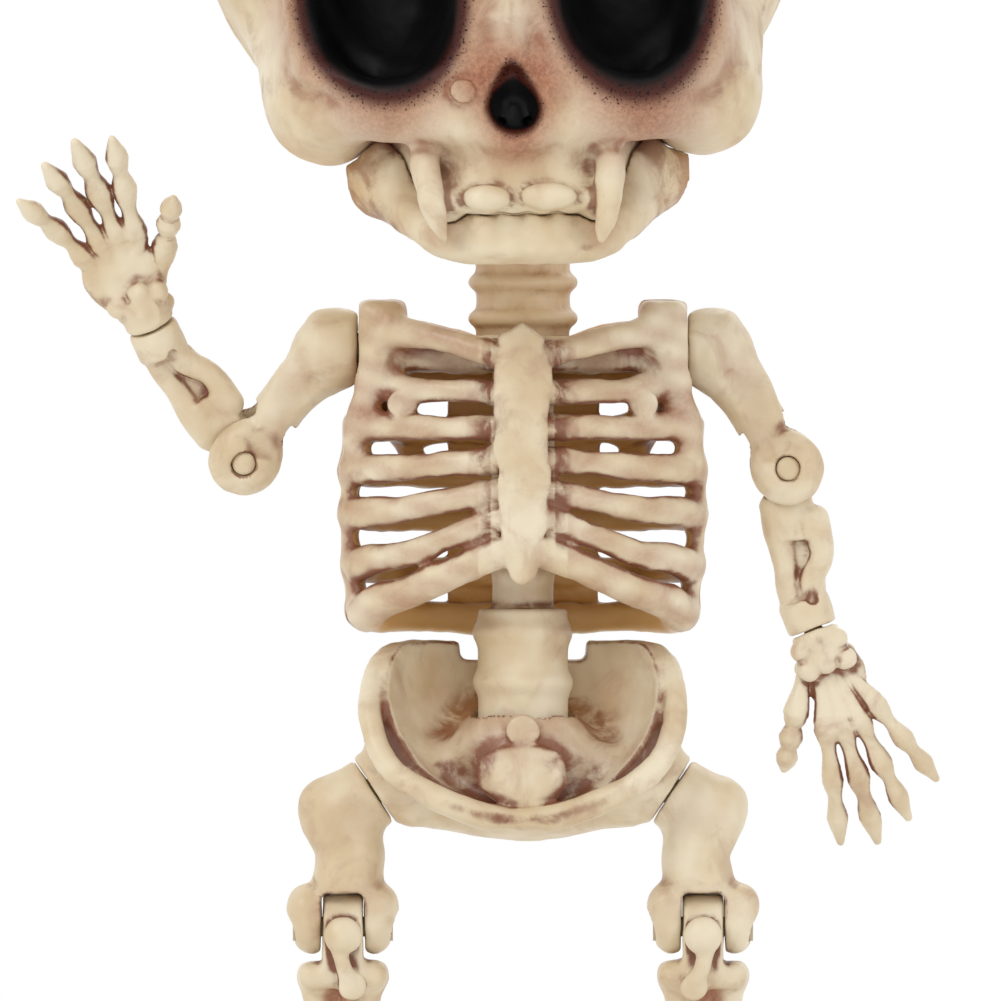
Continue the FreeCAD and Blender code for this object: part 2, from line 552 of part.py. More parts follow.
def make_shin(name, side):
    knee_x, knee_z = side * size("knee_x"), size("knee_z")
    foot_x, ankle = ankle_x(side), size("ankle_z")
    tongue, half, depth = size("knee_tongue_half"), size("plateau_half_width"), size("plateau_half_depth")
    knuckle = rod(name + "_knee_tongue", (knee_x - tongue, 0, knee_z), (knee_x + tongue, 0, knee_z),
                  "knee_radius")
    neck = block(name + "_knee_neck", (knee_x - tongue, -depth, size("plateau_top") - 1),
                 (knee_x + tongue, depth, knee_z))
    plateau = block(name + "_plateau", (knee_x - half, -depth, size("plateau_bottom")),
                    (knee_x + half, depth, size("plateau_top")))
    yoke_top = ankle + size("ankle_yoke_height")
    tibia = rod(name + "_tibia", (knee_x - side * size("tibia_offset"), 0, size("plateau_bottom") + 2),
                (foot_x - side, 0, yoke_top - 2), "tibia_radius", "tibia_radius - 1")
    fibula = rod(name + "_fibula", (knee_x + side * size("fibula_offset"), 1, size("plateau_bottom") + 2),
                 (foot_x + side * 4, 1, yoke_top - 2), "fibula_radius", "fibula_radius - 0.6")
    wide, slot = size("ankle_half_width"), size("ankle_tongue_half") + size("face_gap")
    radius = size("ankle_radius")
    cheeks = rod(name + "_ankle_cheeks", (foot_x - wide, 0, ankle), (foot_x + wide, 0, ankle),
                 "ankle_radius")
    yoke = block(name + "_ankle_yoke", (foot_x - wide, -radius, ankle), (foot_x + wide, radius, yoke_top))
    pin_holes = [rod(name + "_shin_knee_bore", (knee_x - FAR, 0, knee_z), (knee_x + FAR, 0, knee_z),
                     "leg_pin_radius + running_fit"),
                 rod(name + "_shin_ankle_bore", (foot_x - FAR, 0, ankle), (foot_x + FAR, 0, ankle),
                     "arm_pin_radius")]
    gap = [rod(name + "_ankle_gap", (foot_x - slot, 0, ankle), (foot_x + slot, 0, ankle),
               "ankle_radius + 1"),
           block(name + "_ankle_gap_low", (foot_x - slot, -FAR, 0), (foot_x + slot, FAR, ankle))]
    seats = head_seats(name + "_ankle", Vector(foot_x, 0, ankle), AXIS_X, wide, "arm_pin_head",
                       size("arm_pin_head_depth"))
    shin = cut(name + "_shin", fuse(name + "_shin_solids",
                                    [knuckle, neck, plateau, tibia, fibula, cheeks, yoke]),
               pin_holes + gap + seats)
    add_part(shin, "shin_" + name)


def make_foot(name, side):
    foot_x, ankle, half = ankle_x(side), size("ankle_z"), size("ankle_tongue_half")
    arch = ellipsoid(name + "_foot_arch", (foot_x, size("foot_y"), 0),
                     ("foot_half_width", "foot_half_length", "foot_height"))
    heel = rod(name + "_ankle_tongue", (foot_x - half, 0, ankle), (foot_x + half, 0, ankle), "ankle_radius")
    radius = size("ankle_radius")
    neck = block(name + "_ankle_neck", (foot_x - half, -radius, 4), (foot_x + half, radius, ankle))
    solids = [arch, heel, neck]
    for toe in range(5):
        across = (toe - 2) * size("toe_spacing")
        tip = size("toe_y") + toe * size("toe_step")
        x = foot_x + side * across
        solids.append(rod(f"{name}_toe_{toe}", (x, size("foot_y") - 10, size("toe_radius") + 0.6),
                          (x, tip, size("toe_radius") - 0.6), "toe_radius + 0.4", "toe_radius"))
        solids.append(ball(f"{name}_toe_tip_{toe}", (x, tip, size("toe_radius") - 0.6), "toe_radius"))
    below = block(name + "_floor", (-FAR, -FAR, -FAR), (FAR, FAR, 0))
    bore = rod(name + "_foot_bore", (foot_x - FAR, 0, ankle), (foot_x + FAR, 0, ankle),
               "arm_pin_radius + running_fit")
    foot = cut(name + "_foot", fuse(name + "_foot_solids", solids), [below, bore])
    add_part(foot, "foot_" + name)


# ---- arms -----------------------------------------------------------------

class Arm:
    """Points of one arm in the plane that it swings in, from the middle of its shoulder."""

    def __init__(self, name, side):
        self.name, self.side = name, side
        self.lean = size(name + "_lean")
        self.forearm_angle = size(name + "_forearm_angle")
        self.wrist_angle = self.forearm_angle + size("wrist_slant")
        self.swing = Rotation(AXIS_X, size(name + "_swing"))
        self.upper = polar(self.lean, 1, side)
        self.along = polar(self.forearm_angle, 1, side)
        self.outward = polar(self.forearm_angle + 90, 1, side)
        self.hand_axis = polar(self.wrist_angle, 1, side)
        self.elbow = self.upper * size("upper_arm_length")
        self.wrist = self.elbow + self.along * size("forearm_length")
        self.at = ("mid_x + shoulder_x" if side > 0 else "mid_x - shoulder_x", "mid_y", "shoulder_z")
        self.place = Placement(Vector(*(size(formula) for formula in self.at)), self.swing)


def make_upper_arm(arm):
    name, side, elbow = arm.name, arm.side, arm.elbow
    inner = side * (size("shoulder_face_x") + size("face_gap") - size("shoulder_x"))
    depth = size("arm_head_depth")
    head = rod(name + "_arm_head", (inner, 0, 0), (side * depth, 0, 0), "shoulder_radius")
    shaft = rod(name + "_humerus", arm.upper * 3, elbow, "humerus_radius", "humerus_low_radius")
    half, tongue = size("elbow_half_depth"), size("elbow_tongue_half") + size("face_gap")
    knuckle = rod(name + "_elbow_knuckle", elbow - AXIS_Y * half, elbow + AXIS_Y * half, "elbow_radius")
    gap = rod(name + "_elbow_gap", elbow - AXIS_Y * tongue, elbow + AXIS_Y * tongue, "elbow_slot_radius")
    chest_side = block(name + "_arm_relief", (inner, -FAR, -FAR), (inner - side * FAR, FAR, FAR))
    stud_end = side * size("stud_reach + running_fit")
    stud_hole = rod(name + "_arm_bore", (-side * FAR, 0, 0), (stud_end, 0, 0), "shoulder_shaft_radius")
    pin_hole = rod(name + "_elbow_bore", elbow - AXIS_Y * FAR, elbow + AXIS_Y * FAR, "arm_pin_radius")
    seats = head_seats(name + "_elbow", elbow, AXIS_Y, half, "arm_pin_head", size("arm_pin_head_depth"))
    solid = cut(name + "_upper_arm", fuse(name + "_arm_solids", [head, shaft, knuckle]),
                [gap, chest_side, stud_hole, pin_hole] + seats)
    add_part(solid, "upper_arm_" + name, arm.at, arm.swing)


def make_forearm(arm):
    name, elbow, wrist = arm.name, arm.elbow, arm.wrist
    tongue, neck = size("elbow_tongue_half"), size("elbow_neck_half")
    knuckle = rod(name + "_elbow_tongue", elbow - AXIS_Y * tongue, elbow + AXIS_Y * tongue, "elbow_radius")
    start, reach = elbow + arm.along * 16, elbow + arm.along * 18
    link = bar(name + "_elbow_neck", elbow, reach, 2 * tongue, 2 * neck)
    wrist_top = wrist - arm.hand_axis * size("wrist_depth")
    ulna = rod(name + "_ulna", start - arm.outward * size("ulna_offset"), wrist_top,
               "ulna_radius", "ulna_radius - 0.5")
    radius = rod(name + "_radius_bone", start + arm.outward * size("radius_bone_offset"), wrist_top,
                 "radius_bone_radius", "radius_bone_radius + 0.5")
    ends = [ball(name + "_ulna_head", start - arm.outward * size("ulna_offset"), "ulna_radius"),
            ball(name + "_radius_head", start + arm.outward * size("radius_bone_offset"),
                 "radius_bone_radius")]
    block_end = rod(name + "_wrist_block", wrist_top, wrist, "wrist_radius")
    pin_hole = rod(name + "_forearm_bore", elbow - AXIS_Y * FAR, elbow + AXIS_Y * FAR,
                   "arm_pin_radius + running_fit")
    spigot_end = wrist - arm.hand_axis * size("spigot_length + running_fit")
    spigot_hole = rod(name + "_spigot_bore", spigot_end, wrist + arm.hand_axis,
                      "spigot_radius + running_fit")
    forearm = cut(name + "_forearm", fuse(name + "_forearm_solids",
                                          [knuckle, link, ulna, radius, block_end] + ends),
                  [pin_hole, spigot_hole])
    add_part(forearm, "forearm_" + name, arm.at, arm.swing)


def finger(name, angle, root, knuckle, length, side):
    """One finger in the hand's own frame: a straight bone to the knuckle, then two curled ones."""
    direction = polar(angle, 1, side)
    curl = math.radians(size("finger_curl"))
    first = direction * knuckle
    reach = (length - knuckle) / 2
    second = first + (direction * math.cos(curl) + AXIS_Y * math.sin(curl)) * reach
    tip = second + (direction * math.cos(2 * curl) + AXIS_Y * math.sin(2 * curl)) * reach
    start = direction * root
    return [rod(name + "_metacarpal", start, first, "finger_radius"),
            ball(name + "_knuckle", first, "finger_radius + 0.3"),
            rod(name + "_first_bone", first, second, "finger_radius", "finger_radius - 0.4"),
            ball(name + "_middle_knuckle", second, "finger_radius - 0.2"),
            rod(name + "_last_bone", second, tip, "finger_radius - 0.4", "fingertip_radius"),
            ball(name + "_tip", tip, "fingertip_radius")]


def make_hand(arm):
    name, side = arm.name, arm.side
    top = size("face_gap")
    carpals = rod(name + "_carpals", (0, 0, -top), (0, 0, -size("carpal_length")), "wrist_radius",
                  "carpal_radius")
    spigot = rod(name + "_spigot", (0, 0, size("spigot_length")), (0, 0, -top - 2), "spigot_radius")
    solids = [carpals, spigot]
    for number, digit in enumerate(FINGERS):
        solids += finger(f"{name}_{digit}", size(digit + "_angle"), 4, size("knuckle_reach"),
                         size(digit + "_length"), side)
    solids += finger(name + "_thumb", size("thumb_angle"), 2, size("thumb_length") * 0.55,
                     size("thumb_length"), side)
    wrist = Placement(arm.wrist, Rotation(AXIS_Y, -side * arm.wrist_angle))
    turn = Placement(Vector(), Rotation(AXIS_Z, size(name + "_wrist_turn")))
    hand = fuse(name + "_hand", solids)
    hand.Label = "hand_" + name
    hand.Placement = arm.place * wrist * turn
    parts.append(hand)


def make_elbow_pin(arm):
    along = Rotation(AXIS_Z, AXIS_Y)
    at = arm.place.multVec(arm.elbow)
    make_cross_pin(arm.name + "_elbow_cross_pin", "elbow_pin_" + arm.name, at, arm.swing * along,
                   "elbow_half_depth", "arm_pin_radius", "arm_pin_head", "arm_pin_head_depth")


# ---- head -----------------------------------------------------------------

HEAD_AT = ("mid_x", "mid_y", "head_z")
HEAD_TURN = Rotation(AXIS_Y, -size("head_roll"))
# degrees that the jaw is opened by where room is cut for it in the skull
JAW_STEPS = (0, 5, 10)


def make_neck_ball():
    stem_foot = (0, 0, 0)
    solids = [ball("neck_joint_ball", stem_foot, "ball_radius"),
              rod("neck_stem", stem_foot, (0, 0, size("stem_top")), "stem_radius"),
              rod("neck_flange", (0, 0, size("stem_flange_bottom")), (0, 0, size("stem_flange_top")),
                  "stem_flange_radius")]
    add_part(fuse("neck_joint", solids), "neck_ball", HEAD_AT, HEAD_TURN)


def skull_surface(name, wall):
    """Outer surface of the skull, or its inside when a wall is taken off."""
    pieces = [ellipsoid(name + "_cranium", (0, size("cranium_y"), size("cranium_z")),
                        (f"cranium_half_width - {wall}", f"cranium_half_depth - {wall}",
                         f"cranium_half_height - {wall}")),
              ellipsoid(name + "_face", (0, size("face_y"), size("face_z")),
                        (f"face_half_width - {wall}", f"face_half_depth - {wall}",
                         f"face_half_height - {wall}"))]
    return pieces


def mirrored(maker, name, at, sizes):
    """A feature and its mirror image across the middle plane."""
    x, y, z = at
    return [maker(f"{name}_{label}", (side * x, y, z), *sizes) for label, side in SIDES]


def jaw_side(name, side, growth, angle=0):
    """Side bar of the jaw, thicker by the growth, with the jaw opened by an angle."""
    middle = (size("ramus_inner_x") + size("ramus_outer_x")) / 2
    hinge = Vector(0, size("hinge_y"), size("hinge_z"))
    turn = Placement(Vector(), Rotation(AXIS_X, angle), hinge)
    back = turn.multVec(Vector(side * middle, size("hinge_y"), size("jaw_angle_z")))
    front = turn.multVec(Vector(side * size("chin_corner_x"), size("chin_y"), size("chin_z")))
    return rod(name, front, back, f"jaw_body_radius + {growth}", f"jaw_back_radius + {growth}")


def make_skull():
    outer = skull_surface("skull", "0")
    outer += mirrored(ellipsoid, "cheek", (size("cheek_x"), size("cheek_y"), size("cheek_z")),
                      [("cheek_half_width", "cheek_half_depth", "cheek_half_height")])
    outer.append(ellipsoid("muzzle", (0, size("muzzle_y"), size("muzzle_z")),
                           ("muzzle_half_width", "muzzle_half_depth", "muzzle_half_height")))
    body = fuse("skull_outside", outer)
    hollow = cut("skull_hollow", body, skull_surface("skull_inside", "skull_wall"))
    eye = (size("eye_x"), size("eye_y"), size("eye_z"))
    bowls = mirrored(ellipsoid, "eye_bowl", eye,
                     [("eye_half_width + skull_wall", "eye_half_depth + skull_wall",
                       "eye_half_height + skull_wall")])
    eyes = mirrored(ellipsoid, "eye_socket", eye, [("eye_half_width", "eye_half_depth", "eye_half_height")])
    nose = (size("nose_x"), size("nose_y"), size("nose_z"))
    bowls += mirrored(ellipsoid, "nose_bowl", nose, [("nose_half_width + skull_wall",
                                                      "nose_half_depth + skull_wall",
                                                      "nose_half_height + skull_wall")])
    noses = mirrored(ellipsoid, "nose_hole", nose, [("nose_half_width", "nose_half_depth",
                                                     "nose_half_height")])
    solids = [hollow, common("skull_bowls", fuse("skull_bowl_solids", bowls), fuse("skull_again",
              skull_surface("skull_filled", "0"))),
              rod("skull_boss", (0, 0, size("skull_boss_bottom")), (0, 0, size("skull_boss_top")),
                  "skull_boss_radius")]
    hinge_y, low, high = size("hinge_y"), size("hinge_lug_bottom"), size("hinge_lug_top")
    half, side_gap, lug = size("hinge_lug_half"), size("hinge_slot_side"), size("hinge_lug_width")
    inner, outer_x = size("ramus_inner_x") - side_gap, size("ramus_outer_x") + side_gap
    slots, holes = [], []
    for name, side in SIDES:
        solids.append(block(name + "_inner_lug", (side * (inner - lug), hinge_y - half, low),
                            (side * inner, hinge_y + half, high)))
        solids.append(block(name + "_outer_lug", (side * outer_x, hinge_y - half, low + 3),
                            (side * (outer_x + lug), hinge_y + half, high)))
        slots.append(block(name + "_ramus_slot", (side * inner, hinge_y - size("ramus_width"), -20),
                           (side * outer_x, hinge_y + size("ramus_width"), high + 6)))
        holes.append(rod(name + "_hinge_bore", (side * (inner - lug - 1), hinge_y, size("hinge_z")),
                         (side * FAR, hinge_y, size("hinge_z")), "jaw_pin_radius"))
        holes.append(rod(name + "_hinge_seat", (side * (outer_x + lug), hinge_y, size("hinge_z")),
                         (side * FAR, hinge_y, size("hinge_z")), "jaw_pin_head + face_gap"))
    chamber = [rod("skull_chamber", (0, 0, size("skull_chamber_bottom")),
                   (0, 0, size("skull_chamber_top")), "skull_chamber_radius"),
               ball("neck_ball_room", (0, 0, 0), "ball_radius + face_gap"),
               rod("stem_hole", (0, 0, 0), (0, 0, size("skull_chamber_bottom")), "stem_radius + running_fit")]
    mouth = block("below_bite", (-FAR, -FAR, -FAR), (FAR, -size("skull_boss_radius") - 1, size("bite_z")))
    teeth = []
    for place in (-1.5, -0.5, 0.5, 1.5):
        x = place * size("tooth_spacing") * 0.78
        y = size("tooth_y") + abs(place) * 2
        teeth.append(rod(f"upper_tooth_{int(place * 2 + 3)}", (x, y, size("bite_z")),
                         (x, y, size("bite_z") + size("tooth_height")), "tooth_radius"))
    fangs = [rod("fang_" + name, (side * size("fang_x"), size("fang_y"), size("fang_top")),
                 (side * (size("fang_x") - 2), size("fang_y") - 4, size("fang_tip")), "fang_radius",
                 "fang_tip_radius") for name, side in SIDES]
    opened = cut("skull_opened", fuse("skull_solids", solids), slots + [mouth])
    ways = [jaw_side(f"{name}_jaw_way_{angle}", side, "face_gap", angle)
            for name, side in SIDES for angle in JAW_STEPS]
    for step, tool in enumerate(eyes + noses + chamber + ways):
        opened = cut(f"skull_step_{step}", opened, [tool])
    skull = cut("skull", fuse("skull_with_teeth", [opened] + teeth + fangs), holes)
    front = block("skull_front_box", (-FAR, -FAR, -FAR), (FAR, 0, FAR))
    add_part(common("skull_front_shell", skull, front), "skull_front", HEAD_AT, HEAD_TURN)
    add_part(cut("skull_back_shell", skull, [front]), "skull_back", HEAD_AT, HEAD_TURN)


def make_jaw():
    chin = (0, size("chin_y"), size("chin_z"))
    solids = [ellipsoid("chin", chin, ("chin_half_width", "chin_half_depth", "chin_half_height"))]
    hinge_y, hinge_z = size("hinge_y"), size("hinge_z")
    inner_x, outer_x, half = size("ramus_inner_x"), size("ramus_outer_x"), size("ramus_width") / 2
    for name, side in SIDES:
        solids.append(jaw_side(name + "_jaw_body", side, "0"))
        solids.append(block(name + "_ramus", (side * inner_x, hinge_y - half, size("jaw_angle_z") - 1),
                            (side * outer_x, hinge_y + half, hinge_z)))
        solids.append(rod(name + "_ramus_head", (side * inner_x, hinge_y, hinge_z),
                          (side * outer_x, hinge_y, hinge_z), "ramus_top - hinge_z"))
    for place in range(-2, 3):
        x, y = place * size("lower_tooth_spacing"), size("lower_tooth_y") + abs(place) * 1.2
        solids.append(rod(f"lower_tooth_{place + 2}", (x, y, size("chin_z")), (x, y, size("jaw_top")),
                          "lower_tooth_radius"))
    bore = rod("jaw_bore", (-FAR, hinge_y, hinge_z), (FAR, hinge_y, hinge_z),
               "jaw_pin_radius + running_fit")
    above = block("jaw_above", (-FAR, -FAR, size("jaw_top")), (FAR, size("chin_y") + 8, FAR))
    add_part(cut("jaw_solid", fuse("jaw_solids", solids), [bore, above]), "jaw", HEAD_AT, HEAD_TURN)


def make_jaw_pins():
    """One headed pin for each side of the jaw, pushed in from outside."""
    reach = "hinge_slot_side + hinge_slot_side + hinge_lug_width + hinge_lug_width" \
            " + ramus_outer_x - ramus_inner_x + jaw_pin_head_depth"
    pin = turned("jaw_pin", (("0", "0"), ("jaw_pin_head", "0"), ("jaw_pin_head", "jaw_pin_head_depth"),
                             ("jaw_pin_radius", "jaw_pin_head_depth"), ("jaw_pin_radius", reach),
                             ("0", reach)))
    outside = size("ramus_outer_x + hinge_slot_side + hinge_lug_width + jaw_pin_head_depth")
    places = [Placement(Vector(side * outside, size("hinge_y"), size("hinge_z")),
                        Rotation(AXIS_Z, Vector(-side, 0, 0))) for _, side in SIDES]
    add_part(group("jaw_pin_set", pin, places), "jaw_pins", HEAD_AT, HEAD_TURN)


# ---- the whole figure -----------------------------------------------------

make_chest()
make_torso_screws()
make_spine()
make_pelvis()
make_pelvis_cover()
make_pelvis_screws()
make_neck_ball()
make_skull()
make_jaw()
make_jaw_pins()
for side_name, side_sign in SIDES:
    middle = Vector(size("mid_x"), size("mid_y"), 0)
    sideways = Rotation(AXIS_Z, AXIS_X)
    make_shoulder_stud(side_name, side_sign)
    side_arm = Arm(side_name, side_sign)
    make_upper_arm(side_arm)
    make_elbow_pin(side_arm)
    make_forearm(side_arm)
    make_hand(side_arm)
    make_hip_stud(side_name, side_sign)
    make_thigh(side_name, side_sign)
    make_cross_pin(side_name + "_knee_cross_pin", "knee_pin_" + side_name,
                   middle + Vector(side_sign * size("knee_x"), 0, size("knee_z")), sideways,
                   "knee_half_width", "leg_pin_radius", "leg_pin_head", "leg_pin_head_depth")
    make_shin(side_name, side_sign)
    make_cross_pin(side_name + "_ankle_cross_pin", "ankle_pin_" + side_name,
                   middle + Vector(ankle_x(side_sign), 0, size("ankle_z")), sideways,
                   "ankle_half_width", "arm_pin_radius", "arm_pin_head", "arm_pin_head_depth")
    make_foot(side_name, side_sign)
doc.recompute()

for thing in doc.Objects:
    if "Invalid" in thing.State or "Error" in thing.State:
        raise RuntimeError(f"{thing.Name} failed: {thing.State}")
os.makedirs("parts", exist_ok=True)
for thing in parts:
    if thing.Shape.isNull() or not thing.Shape.isValid():
        raise RuntimeError(f"{thing.Label} has no valid shape")
    thing.Shape.exportStep(os.path.join("parts", thing.Label + ".step"))
    print(f"{thing.Label}: {len(thing.Shape.Solids)} solid(s), {thing.Shape.Volume / 1000:.1f} cm3")
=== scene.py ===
import json
import math

import bpy
import numpy as np
from mathutils import Matrix, Vector


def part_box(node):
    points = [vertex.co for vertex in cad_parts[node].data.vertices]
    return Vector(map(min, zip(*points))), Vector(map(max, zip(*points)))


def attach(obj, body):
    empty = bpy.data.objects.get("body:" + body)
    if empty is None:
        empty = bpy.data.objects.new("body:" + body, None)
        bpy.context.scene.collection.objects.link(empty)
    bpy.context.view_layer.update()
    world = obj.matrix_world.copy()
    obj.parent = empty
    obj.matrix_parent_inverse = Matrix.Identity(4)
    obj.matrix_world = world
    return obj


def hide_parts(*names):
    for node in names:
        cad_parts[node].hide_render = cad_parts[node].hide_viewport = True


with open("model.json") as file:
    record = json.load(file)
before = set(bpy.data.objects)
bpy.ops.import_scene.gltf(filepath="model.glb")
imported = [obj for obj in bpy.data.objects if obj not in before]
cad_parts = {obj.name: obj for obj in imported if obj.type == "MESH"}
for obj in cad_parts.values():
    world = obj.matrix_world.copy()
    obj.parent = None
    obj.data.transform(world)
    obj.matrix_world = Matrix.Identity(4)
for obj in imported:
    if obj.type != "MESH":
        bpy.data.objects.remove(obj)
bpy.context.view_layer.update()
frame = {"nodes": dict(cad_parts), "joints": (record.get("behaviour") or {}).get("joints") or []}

# The bones are modelled as clay: signed distances in millimetres on a grid, blended and
# carved with round shapes, then skinned into a mesh. Every piece has its own clay block.

MM = 0.001
FAR, CURVE_PARTS, SIDES = 40.0, 4, (-1, 1)
DETAIL = 1.0
JOINTS = {joint["name"]: joint for joint in frame["joints"]}
ribs_low, ribs_high = (Vector(corner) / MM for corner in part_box("ribcage_front"))
MID_X, MID_Y = (ribs_low.x + ribs_high.x) / 2, ribs_high.y
BODY = Matrix.Translation((MID_X, MID_Y, 0))


def joint_place(name):
    return Vector(JOINTS[name]["pos_m"]) / MM


def joint_axis(name):
    return Vector(JOINTS[name]["axis"]).normalized()


# ---- clay ----

class Clay:
    """Signed distances on a regular grid; low and high are its corners in mm."""

    def __init__(self, low, high, step):
        self.step = step * DETAIL
        self.low = np.array(low, float)
        counts = np.ceil((np.array(high, float) - self.low) / self.step).astype(int) + 1
        self.axes = [(self.low[k] + self.step * np.arange(counts[k])).astype(np.float32) for k in range(3)]
        self.field = np.full(counts, FAR, np.float32)

    def window(self, low, high):
        """Slices of the part of the grid in a box, and the coordinates there."""
        slices = []
        for k in range(3):
            first = int(np.floor((low[k] - self.low[k]) / self.step))
            last = int(np.ceil((high[k] - self.low[k]) / self.step)) + 1
            size = self.field.shape[k]
            slices.append(slice(min(max(first, 0), size), min(max(last, 0), size)))
        axes = (axis[part] for axis, part in zip(self.axes, slices))
        grids = np.meshgrid(*axes, indexing="ij", sparse=True)
        return tuple(slices), grids

    def add(self, shape, blend=1.0):
        """Joins a shape on, with a rounded inside corner of about the blend's size."""
        distance, low, high = shape
        reach = blend + 7
        where, grids = self.window(np.array(low) - reach, np.array(high) + reach)
        old, new = self.field[where], distance(*grids)
        if old.size:
            fillet = np.maximum(blend - np.abs(old - new), 0) / max(blend, 1e-3)
            self.field[where] = np.minimum(old, new) - fillet * fillet * blend / 4

    def cut(self, shape, blend=0.5):
        """Carves a shape away, with a rounded outside corner."""
        distance, low, high = shape
        reach = blend + 1
        where, grids = self.window(np.array(low) - reach, np.array(high) + reach)
        old, new = self.field[where], -distance(*grids)
        if old.size:
            fillet = np.maximum(blend - np.abs(old - new), 0) / max(blend, 1e-3)
            self.field[where] = np.maximum(old, new) + fillet * fillet * blend / 4

    def bore(self, start, end, radius, blend):
        """Carves a sharp-edged round hole, or a flat face when the radius is large."""
        self.cut(disc(start, end, radius, 0.1), blend)

    def mirrored(self):
        """The whole of a block whose half with x >= 0 was modelled."""
        whole = Clay.__new__(Clay)
        whole.step, whole.low = self.step, self.low.copy()
        whole.low[0] = -self.axes[0][-1]
        whole.field = np.concatenate([self.field[:0:-1], self.field])
        whole.axes = [np.concatenate([-self.axes[0][:0:-1], self.axes[0]]), self.axes[1], self.axes[2]]
        return whole

    def copy(self):
        twin = Clay.__new__(Clay)
        twin.step, twin.low, twin.axes, twin.field = self.step, self.low, self.axes, self.field.copy()
        return twin

    def roughen(self, amount, grain, seed):
        """Pushes the surface in and out by smooth noise with that grain, in mm."""
        rng = np.random.default_rng(seed)
        knots, weights = [], []
        for axis in self.axes:
            where = (axis - axis[0]) / grain
            first = np.floor(where).astype(int)
            part = where - first
            part = part * part * (3 - 2 * part)
            weight = np.zeros((len(axis), first[-1] + 2), np.float32)
            weight[np.arange(len(axis)), first] = 1 - part
            weight[np.arange(len(axis)), first + 1] += part
            weights.append(weight)
            knots.append(weight.shape[1])
        noise = rng.uniform(-1, 1, knots).astype(np.float32)
        for rule, weight in zip(("ai,ijk->ajk", "bj,ajk->abk", "ck,abk->abc"), weights):
            noise = np.einsum(rule, weight, noise)
        self.field += amount * noise

    def sample(self, points):
        """Distances at any points, read between the grid's own."""
        where = (points - self.low) / self.step
        first = np.clip(np.floor(where).astype(int), 0, np.array(self.field.shape) - 2)
        part = np.clip(where - first, 0, 1)
        total = np.zeros(len(points))
        for corner in np.ndindex(2, 2, 2):
            weight = np.prod(np.where(corner, part, 1 - part), axis=1)
            index = first + corner
            total += weight * self.field[index[:, 0], index[:, 1], index[:, 2]]
        return total

    def slope(self, points):
        """Unit normals of the surface near some points."""
        nudge = self.step * 0.7
        parts = [self.sample(points + nudge * axis) - self.sample(points - nudge * axis)
                 for axis in np.eye(3)]
        normal = np.stack(parts, axis=1)
        return normal / np.maximum(np.linalg.norm(normal, axis=1, keepdims=True), 1e-6)

    def skin(self):
        """Vertices and quads of the surface at distance 0."""
        inside = self.field < 0
        count = np.zeros(np.array(inside.shape) - 1, np.int8)
        corners = list(np.ndindex(2, 2, 2))
        shape = count.shape
        for corner in corners:
            count += inside[tuple(slice(c, c + n) for c, n in zip(corner, shape))]
        cells = np.argwhere((count > 0) & (count < 8))
        number = np.full(shape, -1, np.int32)
        number[tuple(cells.T)] = np.arange(len(cells))
        place, crossings = np.zeros((len(cells), 3)), np.zeros(len(cells))
        values = {corner: self.field[tuple((cells + corner).T)] for corner in corners}
        for start in corners:
            for axis in range(3):
                if start[axis]:
                    continue
                end = tuple(c + (k == axis) for k, c in enumerate(start))
                a, b = values[start], values[end]
                crossed = (a < 0) != (b < 0)
                t = np.where(crossed, a / np.where(crossed, a - b, 1), 0)
                point = np.array(start, float) + t[:, None] * np.eye(3)[axis]
                place += np.where(crossed[:, None], point, 0)
                crossings += crossed
        vertices = self.low + self.step * (cells + place / crossings[:, None])
        quads = []
        for axis in range(3):
            u, v = (axis + 1) % 3, (axis + 2) % 3
            first = np.take(inside, range(inside.shape[axis] - 1), axis)
            second = np.take(inside, range(1, inside.shape[axis]), axis)
            edges = np.argwhere(first != second)
            edges = edges[(edges[:, u] > 0) & (edges[:, v] > 0)
                          & (edges[:, u] < shape[u]) & (edges[:, v] < shape[v])]
            step_u, step_v = np.eye(3, dtype=int)[u], np.eye(3, dtype=int)[v]
            around = [edges - step_u - step_v, edges - step_v, edges, edges - step_u]
            ring = np.stack([number[tuple(cell.T)] for cell in around], axis=1)
            leaving = inside[tuple(edges.T)]
            quads.append(np.where(leaving[:, None], ring, ring[:, ::-1]))
        return vertices, np.concatenate(quads)


def box_of(points, radius):
    points = np.array(points, float)
    return points.min(0) - radius, points.max(0) + radius


def length(parts):
    return np.sqrt(sum(part ** 2 for part in parts))


def egg(at, radii):
    """Ellipsoid."""
    at, radii = np.array(at, np.float32), np.array(radii, np.float32)

    def distance(x, y, z):
        p = [(c - o) / r for c, o, r in zip((x, y, z), at, radii)]
        q = [c / r for c, r in zip(p, radii)]
        return length(p) * (length(p) - 1) / np.maximum(length(q), 1e-4)
    return distance, at - radii, at + radii


def ball(at, radius):
    return egg(at, (radius, radius, radius))


def rod(start, end, radius, end_radius=None, flat=(1, 1, 1)):
    """Round-ended bar that may taper; flat widens it along the axes."""
    flat = np.array(flat, np.float32)
    a, b = np.array(start, np.float32) / flat, np.array(end, np.float32) / flat
    end_radius = radius if end_radius is None else end_radius
    along = b - a
    length2 = max(float(along @ along), 1e-6)

    def distance(x, y, z):
        p = [c / f - o for c, f, o in zip((x, y, z), flat, a)]
        t = np.clip((p[0] * along[0] + p[1] * along[1] + p[2] * along[2]) / length2, 0, 1)
        gap = length([c - t * d for c, d in zip(p, along)])
        return (gap - (radius + (end_radius - radius) * t)) * flat.min()
    low, high = box_of([start, end], max(radius, end_radius) * flat)
    return distance, low, high


